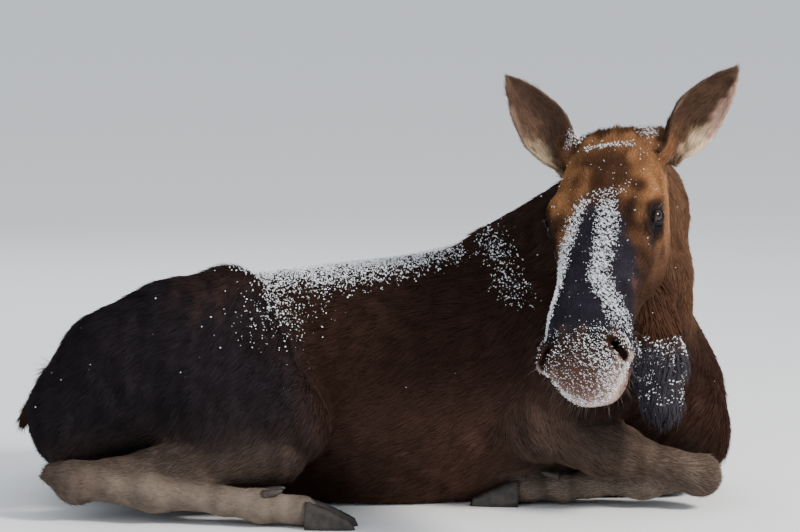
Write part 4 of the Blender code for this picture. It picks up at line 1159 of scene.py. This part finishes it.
on_muzzle = is_zone("skull", "jaw") & (head_spots[:, 0] > 0.47) & (head_spots[:, 2] < -0.05)
face, share = scatter(on_muzzle, np.full(len(spots), 0.019), 51)
root, stand = mixed(spots, face, share), mixed(outward, face, share)
way = stand + 0.6 * HEAD_AXES[0] + rng.normal(0, 0.25, root.shape)
whiskers = spikes("whiskers", root, way, (0.018, 0.042), 0.0008, 0.15, (0.05, 0.04, 0.035))

LASHES = 46
lash_roots, lash_ways = [], []
for name, side in SIDES:
    spin = np.radians(np.linspace(18, 162, LASHES)) + rng.normal(0, 0.02, LASHES)
    wide, tall = 53 * np.cos(spin), 34 * np.sin(spin) ** 1.35 + 0.05 * 53 * np.cos(spin)
    tilt, turn = np.radians(np.hypot(wide, tall)), np.arctan2(tall, wide)
    ways = ways_at(tilt, turn)
    base = from_eye(ways * (EYE_RADIUS + 0.0030), side)
    ends = ways * (EYE_RADIUS + 0.0160) + np.array((0.004, 0, -0.001))
    ends = ends + rng.normal(0, 0.0015, ways.shape)
    lash_roots.append(base)
    lash_ways.append(from_eye(ends, side) - base)
root, way = np.concatenate(lash_roots), np.concatenate(lash_ways)
lashes = spikes("lashes", root, way, (0.010, 0.017), 0.0011, -0.12, (0.006, 0.005, 0.005))
print("whiskers", len(whiskers.data.polygons) // 10, "lashes", len(root))

# %% [markdown]
# ## Frost and dry snow
# Her breath has frosted her face and dry snow lies along her back. It is loose grains
# resting on the tips of the hair: eight-sided crystals of many sizes, thick where a mask
# says so and broken up by noise.
# %% Where the snow lies
STRIPES = (  # distance along the face, then centre and half width of her right stripe and her left one
    (0.200, -0.028, 0.016, 0.018, 0.018), (0.260, -0.052, 0.016, 0.022, 0.023),
    (0.320, -0.069, 0.018, 0.023, 0.022), (0.380, -0.074, 0.018, 0.021, 0.020),
    (0.430, -0.075, 0.018, 0.026, 0.021), (0.470, -0.075, 0.017, 0.046, 0.021),
    (0.510, -0.076, 0.016, 0.062, 0.017), (0.560, -0.078, 0.014, 0.069, 0.015))


def snow_on_head(p, noise):
    """The most of: two stripes down the bridge, the lip's rim, the muzzle, the brow, a patch below
    it, the ear roots and stray flecks; none on the eyes and in the nostrils."""
    h = to_head(p)
    x, y, z = h.T
    folded = mirrored(h)
    wide = 1 + 0.16 * noise
    right, left = (1 - smooth(np.abs(y - rule(x, STRIPES, i)) / rule(x, STRIPES, i + 1) / wide, 0.30, 1.50)
                   for i in (1, 3))
    stripes = np.maximum(right, left) * window(x + 0.008 * noise, 0.208, 0.550, 0.020)
    stripes = stripes * smooth(z, -0.100, -0.055) * (0.86 - 0.45 * smooth(x, 0.50, 0.56))
    lip = above_lip(y, z)
    rim = smooth(x, 0.585, 0.615) * window(lip + 0.005 * noise, -0.012, 0.012, 0.008)
    rim = rim * (0.50 + 0.25 * smooth(y, -0.02, 0.06))
    muzzle = smooth(x, 0.545, 0.600) * smooth(lip, -0.01, 0.01)
    muzzle = muzzle * (0.14 + 0.34 * smooth(y + 0.015 * noise, -0.02, 0.05))
    brow = window(x + 0.004 * noise, 0.044, 0.058, 0.007) * window(y, -0.045, 0.060, 0.015)
    brow = brow * smooth(z, -0.04, -0.01) * 0.45
    patch = window(x + 0.25 * (y - 0.02) + 0.006 * noise, 0.180, 0.200, 0.010)
    patch = patch * window(y, -0.030, 0.055, 0.014) * smooth(z, -0.04, -0.01) * 0.22
    from_ear = np.linalg.norm(folded - (-0.012, 0.080, -0.018), axis=1)
    ears = (1 - smooth(from_ear, 0.012, 0.036)) * 0.35
    flecks = 0.012 * smooth(z, -0.10, -0.02) * smooth(noise, 0.1, 0.9) * smooth(x, 0.0, 0.05)
    clear = (np.linalg.norm(folded - EYE_AT, axis=1) > 0.032) & (from_nostril(folded) > 0.0012)
    return np.max([stripes, rim, muzzle, brow, patch, ears, flecks], axis=0) * clear


def snow_on_body(p, normal, noise, weights):
    """The most of: the back's ridge, a spill over the loin, a shoulder patch, a crust and dust on
    the bell, and stray grains. Along the ridge the snow thickens towards the hip."""
    x, y, z = p.T
    behind = smooth(-x, -0.38, 0.20)
    top = smooth(normal[:, 2] + 0.05 * noise, 0.90 - 0.16 * behind, 0.985)
    ridge = window(x + 0.02 * noise, -0.27, 0.42, 0.04) * top * smooth(z, 0.40, 0.46)
    ridge = ridge * (0.22 + 0.46 * behind)
    spill = window(x + 0.05 * noise + 0.3 * (z - 0.45), -0.245, -0.11, 0.05)
    spill = spill * window(z + 0.025 * noise, 0.400, 0.50, 0.045) * (y < 0) * 0.20
    spill = spill * smooth(normal[:, 2] + 0.2 * noise, 0.0, 0.5)
    blade = window(x - 0.35 * (0.53 - z) + 0.015 * noise, 0.265, 0.315, 0.022)
    blade = blade * window(z, 0.455, 0.585, 0.03) * (y < -0.03) * 0.30
    bag = weights[:, NAMES.index("bell")] * (y < -0.30)
    crust = bag * window(z + 0.010 * noise, 0.350, 0.382, 0.014) * 0.75
    dust = bag * smooth(noise, -0.4, 0.8) * (1 - smooth(z, 0.37, 0.40)) * 0.36
    stray = 0.003 * (y < 0.05) * smooth(noise, 0.4, 1.2) * smooth(z, 0.20, 0.30)
    return np.max([ridge, spill, blade, crust, dust, stray], axis=0)


still = np.zeros(len(spots))
frosted = (snow_on_head(spots, still)[skull_skin] > 0.3).mean()
snowed = (snow_on_body(spots, outward, still, weights)[is_zone("trunk")] > 0.3).mean()
print("frost lies on", frosted.round(3), "of the face and snow on", snowed.round(3), "of the trunk")

# %% [markdown]
# ## Grains
# Frost and cold dry snow stay separate grains that glitter. A grain is eight-sided: six
# corners, two on each of three crossed arms of uneven length, turned at random.
# %% Snow grains
GRAIN = np.array([(0, 1, 2), (1, 3, 2), (3, 4, 2), (4, 0, 2), (1, 0, 5), (3, 1, 5), (4, 3, 5), (0, 4, 5)])


def grains(name, region, mask_of, spacing, size, seed):
    """Roots where the mask and its clumps beat a random number, and three arms either way at each."""
    dice = np.random.default_rng(seed)
    face, share = scatter(region, np.full(len(spots), spacing), seed)
    root, normal = mixed(spots, face, share), mixed(outward, face, share)
    w = mixed(weights, face, share)
    noise = 0.6 * ripple(root, 0.022, seed + 1) + 0.5 * ripple(root, 0.008, seed + 2)
    clumps = smooth(ripple(root, 0.007, seed + 3) + 0.8 * ripple(root, 0.012, seed + 4), -0.5, 0.7)
    mask = mask_of(root, normal, noise, w)
    keep = dice.random(len(root)) < mask * (0.12 + 0.95 * clumps)
    root, normal, w = root[keep], normal[keep], w[keep]
    deep = blended(w, 1) * 0.35 + 0.0022
    middle = root + normal * (deep * dice.uniform(0.6, 1.3, len(root)))[:, None]
    middle = (middle + dice.normal(0, 0.0006, root.shape))[:, None]
    turn = np.linalg.qr(dice.normal(size=(len(root), 3, 3)))[0]
    big = size * dice.uniform(0.35, 1.3, (len(root), 1, 1)) ** 1.3
    arms = turn * (big * dice.uniform(0.5, 1.3, (len(root), 3, 1)))
    points = np.concatenate([middle + arms, middle - arms], axis=1)
    triangles = GRAIN[None] + 6 * np.arange(len(root))[:, None, None]
    body = place(name, mesh_from(name, points.reshape(-1, 3), triangles.reshape(-1, 3)))
    print(name, len(root), "grains")
    return facing_out(body)


nose_pad = (head_spots[:, 0] > 0.612) & (folded_spots[:, 1] < 0.045) & (head_spots[:, 2] > -0.16)
frosty = is_zone("skull", "jaw", "ear_left", "ear_right") | nose_pad
snowy = is_zone("trunk", "shoulder", "thigh", "neck", "bell")
snow = [grains("frost_on_head", frosty, lambda p, normal, noise, w: snow_on_head(p, noise),
               0.00108, 0.0010, 61),
        grains("snow_on_body", snowy, snow_on_body, 0.0019, 0.0017, 71)]

# %% [markdown]
# ## Materials
# Every finish is one Principled shader. A small class wraps a socket so that sums and
# products of values read as ordinary expressions, and one method adds any other node. Hair
# and skin read the markings attribute, and noise along each lock gives it strands.
# %% A small language for shaders
class Value:
    """A number or colour that varies over the surface; arithmetic on it adds Math nodes."""

    def __init__(self, tree, socket=None):
        self.tree, self.socket = tree, socket

    def node(self, kind, settings, inputs, output=0):
        """Adds a node, sets its settings, gives its sockets values or links, and wraps one output."""
        made = self.tree.nodes.new(kind)
        for key, setting in settings.items():
            if key == "stops":
                for element, (at, colour) in zip(made.color_ramp.elements, setting):
                    element.position, element.color = at, (*colour, 1)
            else:
                setattr(made, key, setting)
        for key, given in inputs.items():
            if isinstance(given, Value):
                self.tree.links.new(given.socket, made.inputs[key])
            else:
                made.inputs[key].default_value = given
        return Value(self.tree, made.outputs[output])

    def math(self, operation, first, second):
        return self.node("ShaderNodeMath", {"operation": operation}, {0: first, 1: second})

    def __add__(self, other):
        return self.math("ADD", self, other)

    def __mul__(self, other):
        return self.math("MULTIPLY", self, other)

    def __sub__(self, other):
        return self.math("SUBTRACT", self, other)

    def __rsub__(self, other):
        return self.math("SUBTRACT", other, self)

    __radd__, __rmul__ = __add__, __mul__


def finish_of(name, settings):
    """A material, a value to start its nodes from, and its Principled shader with plain numbers set."""
    material = bpy.data.materials.new(name)
    material.use_nodes = True
    shader = material.node_tree.nodes["Principled BSDF"]
    for key, setting in settings.items():
        shader.inputs[key].default_value = setting
    return material, Value(material.node_tree), shader


def feed(shader, inputs):
    """Links values that vary over the surface to the shader's sockets."""
    for key, value in inputs.items():
        value.tree.links.new(value.socket, shader.inputs[key])


def attribute(start, name, output="Color"):
    """What the mesh holds under a name, as a colour or as a vector."""
    return start.node("ShaderNodeAttribute", {"attribute_name": name}, {}, output)


def noise_in(place_value, scale, detail):
    """A noise that is read at a place, with so many bumps to the metre or to the strand."""
    inputs = {"Vector": place_value, "Scale": scale, "Detail": detail}
    return place_value.node("ShaderNodeTexNoise", {}, inputs)


def tinted(colour, tone):
    """A colour times a number that varies: the number three times over, through Vector Math."""
    grey = tone.node("ShaderNodeCombineXYZ", {}, {0: tone, 1: tone, 2: tone})
    return tone.node("ShaderNodeVectorMath", {"operation": "MULTIPLY"}, {0: colour, 1: grey})


def bumped(height, strength, distance):
    """The surface's normal, tilted by the slope of a height."""
    inputs = {"Height": height, "Strength": strength, "Distance": distance}
    return height.node("ShaderNodeBump", {}, inputs)


print("helpers:", [made.__name__ for made in (finish_of, feed, attribute, noise_in, tinted, bumped)])

# %% [markdown]
# Winter hair scatters light and has next to no gloss, so its shader has none. Under the coat
# the skin has none either, and the lids have a little. The eyes are wet and smooth. Horn is
# dark and cloudy, and snow is white with a touch of blue.
# %% Coat, skin, eye, horn and snow
hair, start, shader = finish_of("winter_hair", {"Roughness": 0.8, "Specular IOR Level": 0.0})
fibre = noise_in(attribute(start, "strand", "Vector"), 2.6, 2.0)
marks = attribute(start, "markings")
feed(shader, {"Base Color": tinted(marks, fibre * 1.1 + 0.45), "Roughness": fibre * 0.20 + 0.70})


def skin_finish(name, gloss):
    """Skin with pores and blotches, and as much gloss as is asked for."""
    material, start, shader = finish_of(name, {"Roughness": 0.6, "Specular IOR Level": gloss})
    spot = start.node("ShaderNodeTexCoord", {}, {}, "Object")
    pores, blotch = noise_in(spot, 420.0, 3.0), noise_in(spot, 60.0, 3.0)
    tone = blotch * 0.5 + pores * 0.4 + 0.55
    feed(shader, {"Base Color": tinted(attribute(start, "markings"), tone),
                  "Roughness": blotch * 0.3 + 0.50,
                  "Normal": bumped(pores * 0.7 + blotch, 0.55, 0.0012)})
    return material


hide, rims = skin_finish("hide", 0.0), skin_finish("lid_skin", 0.05)

wet, start, shader = finish_of("eyeball", {"Roughness": 0.05, "Specular IOR Level": 0.35})
feed(shader, {"Base Color": attribute(start, "markings")})

HORN_STOPS = ((0.3, (0.012, 0.010, 0.010)), (0.8, (0.060, 0.048, 0.040)))
horn, start, shader = finish_of("horn", {"Roughness": 0.5, "Specular IOR Level": 0.4})
cloud = noise_in(start.node("ShaderNodeTexCoord", {}, {}, "Object"), 55.0, 4.0)
feed(shader, {"Base Color": cloud.node("ShaderNodeValToRGB", {"stops": HORN_STOPS}, {0: cloud}),
              "Roughness": cloud * 0.3 + 0.35,
              "Normal": bumped(cloud, 0.3, 0.002)})

ice, _, _ = finish_of("dry_snow", {"Base Color": (0.88, 0.91, 0.96, 1), "Roughness": 0.45,
                                   "Specular IOR Level": 0.5})

spike, start, shader = finish_of("stiff_hair", {"Roughness": 0.4})
feed(shader, {"Base Color": attribute(start, "markings")})

for pieces, material in ((coat, hair), ([skin], hide), (lids.values(), rims), (eyes.values(), wet),
                         (hooves.values(), horn), (snow, ice), ((whiskers, lashes), spike)):
    for body in pieces:
        body.data.materials.clear()
        body.data.materials.append(material)
print("finishes", [m.name for m in (hair, hide, rims, wet, horn, ice, spike)])

# %% [markdown]
# ## Tie the animal to the solid model
# Everything rides on the one body. The skin stands for all the nodes of flesh, the eyes and
# claws each stand for their own.
# %% Which piece stands for which solid
for body in (skin, *coat, *lids.values(), *eyes.values(), *hooves.values(), *snow, whiskers, lashes):
    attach(body, "root")
claws = set(hooves) | {"eye_left", "eye_right"}
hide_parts(*[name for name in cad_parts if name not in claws])
for name, eye in eyes.items():
    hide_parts("eye_" + name)
for name, toe in hooves.items():
    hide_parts(name)
print(len(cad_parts), "solids: the skin stands for all but", len(claws), "eyes and claws")

# %% [markdown]
# ## Floor, light and camera
# A plain pale floor, a broad key light from her left above the camera, a soft fill from the
# other side and a pale sky. The camera is a long lens far off and a little above her back.
# %% The studio
FLOOR = np.array([(-60.0, -30, 0), (60, -30, 0), (60, 120, 0), (-60, 120, 0)])
floor = place("floor", mesh_from("floor", FLOOR, np.array([(0, 1, 2), (0, 2, 3)])))
pale, _, _ = finish_of("pale_floor", {"Base Color": (0.88, 0.89, 0.90, 1), "Roughness": 0.9,
                                      "Specular IOR Level": 0.2})
floor.data.materials.append(pale)


def lamp(name, spot, target, size, power, colour):
    """A square area light at a spot, aimed at a target."""
    light = bpy.data.lights.new(name, "AREA")
    light.size, light.energy, light.color = size, power, colour
    body = bpy.data.objects.new(name, light)
    bpy.context.scene.collection.objects.link(body)
    body.location = spot
    body.rotation_euler = (Vector(target) - Vector(spot)).to_track_quat("-Z", "Y").to_euler()


lamp("key", (4.4, -3.4, 3.8), (0.2, -0.1, 0.4), 1.3, 620, (1.0, 0.95, 0.88))
lamp("fill", (-4.0, -4.5, 2.2), (0, 0, 0.35), 3.0, 60, (0.86, 0.92, 1.0))
lamp("rim", (-1.5, 4.5, 3.2), (0.1, 0, 0.5), 2.5, 60, (0.95, 0.97, 1.0))
world = bpy.data.worlds.new("sky")
bpy.context.scene.world = world
world.use_nodes = True
sky = world.node_tree.nodes["Background"]
sky.inputs["Color"].default_value = (0.88, 0.92, 0.98, 1)
sky.inputs["Strength"].default_value = 0.90

camera = bpy.data.cameras.new("camera")
camera.sensor_width, camera.lens = 36.0, 153.7
eye_point = bpy.data.objects.new("camera", camera)
bpy.context.scene.collection.objects.link(eye_point)
eye_point.location = (0.066, -7.5, 1.30)
eye_point.rotation_euler = (np.radians(84.0), 0, 0)
bpy.context.scene.camera = eye_point
print("the camera looks from", eye_point.location.to_tuple(3))
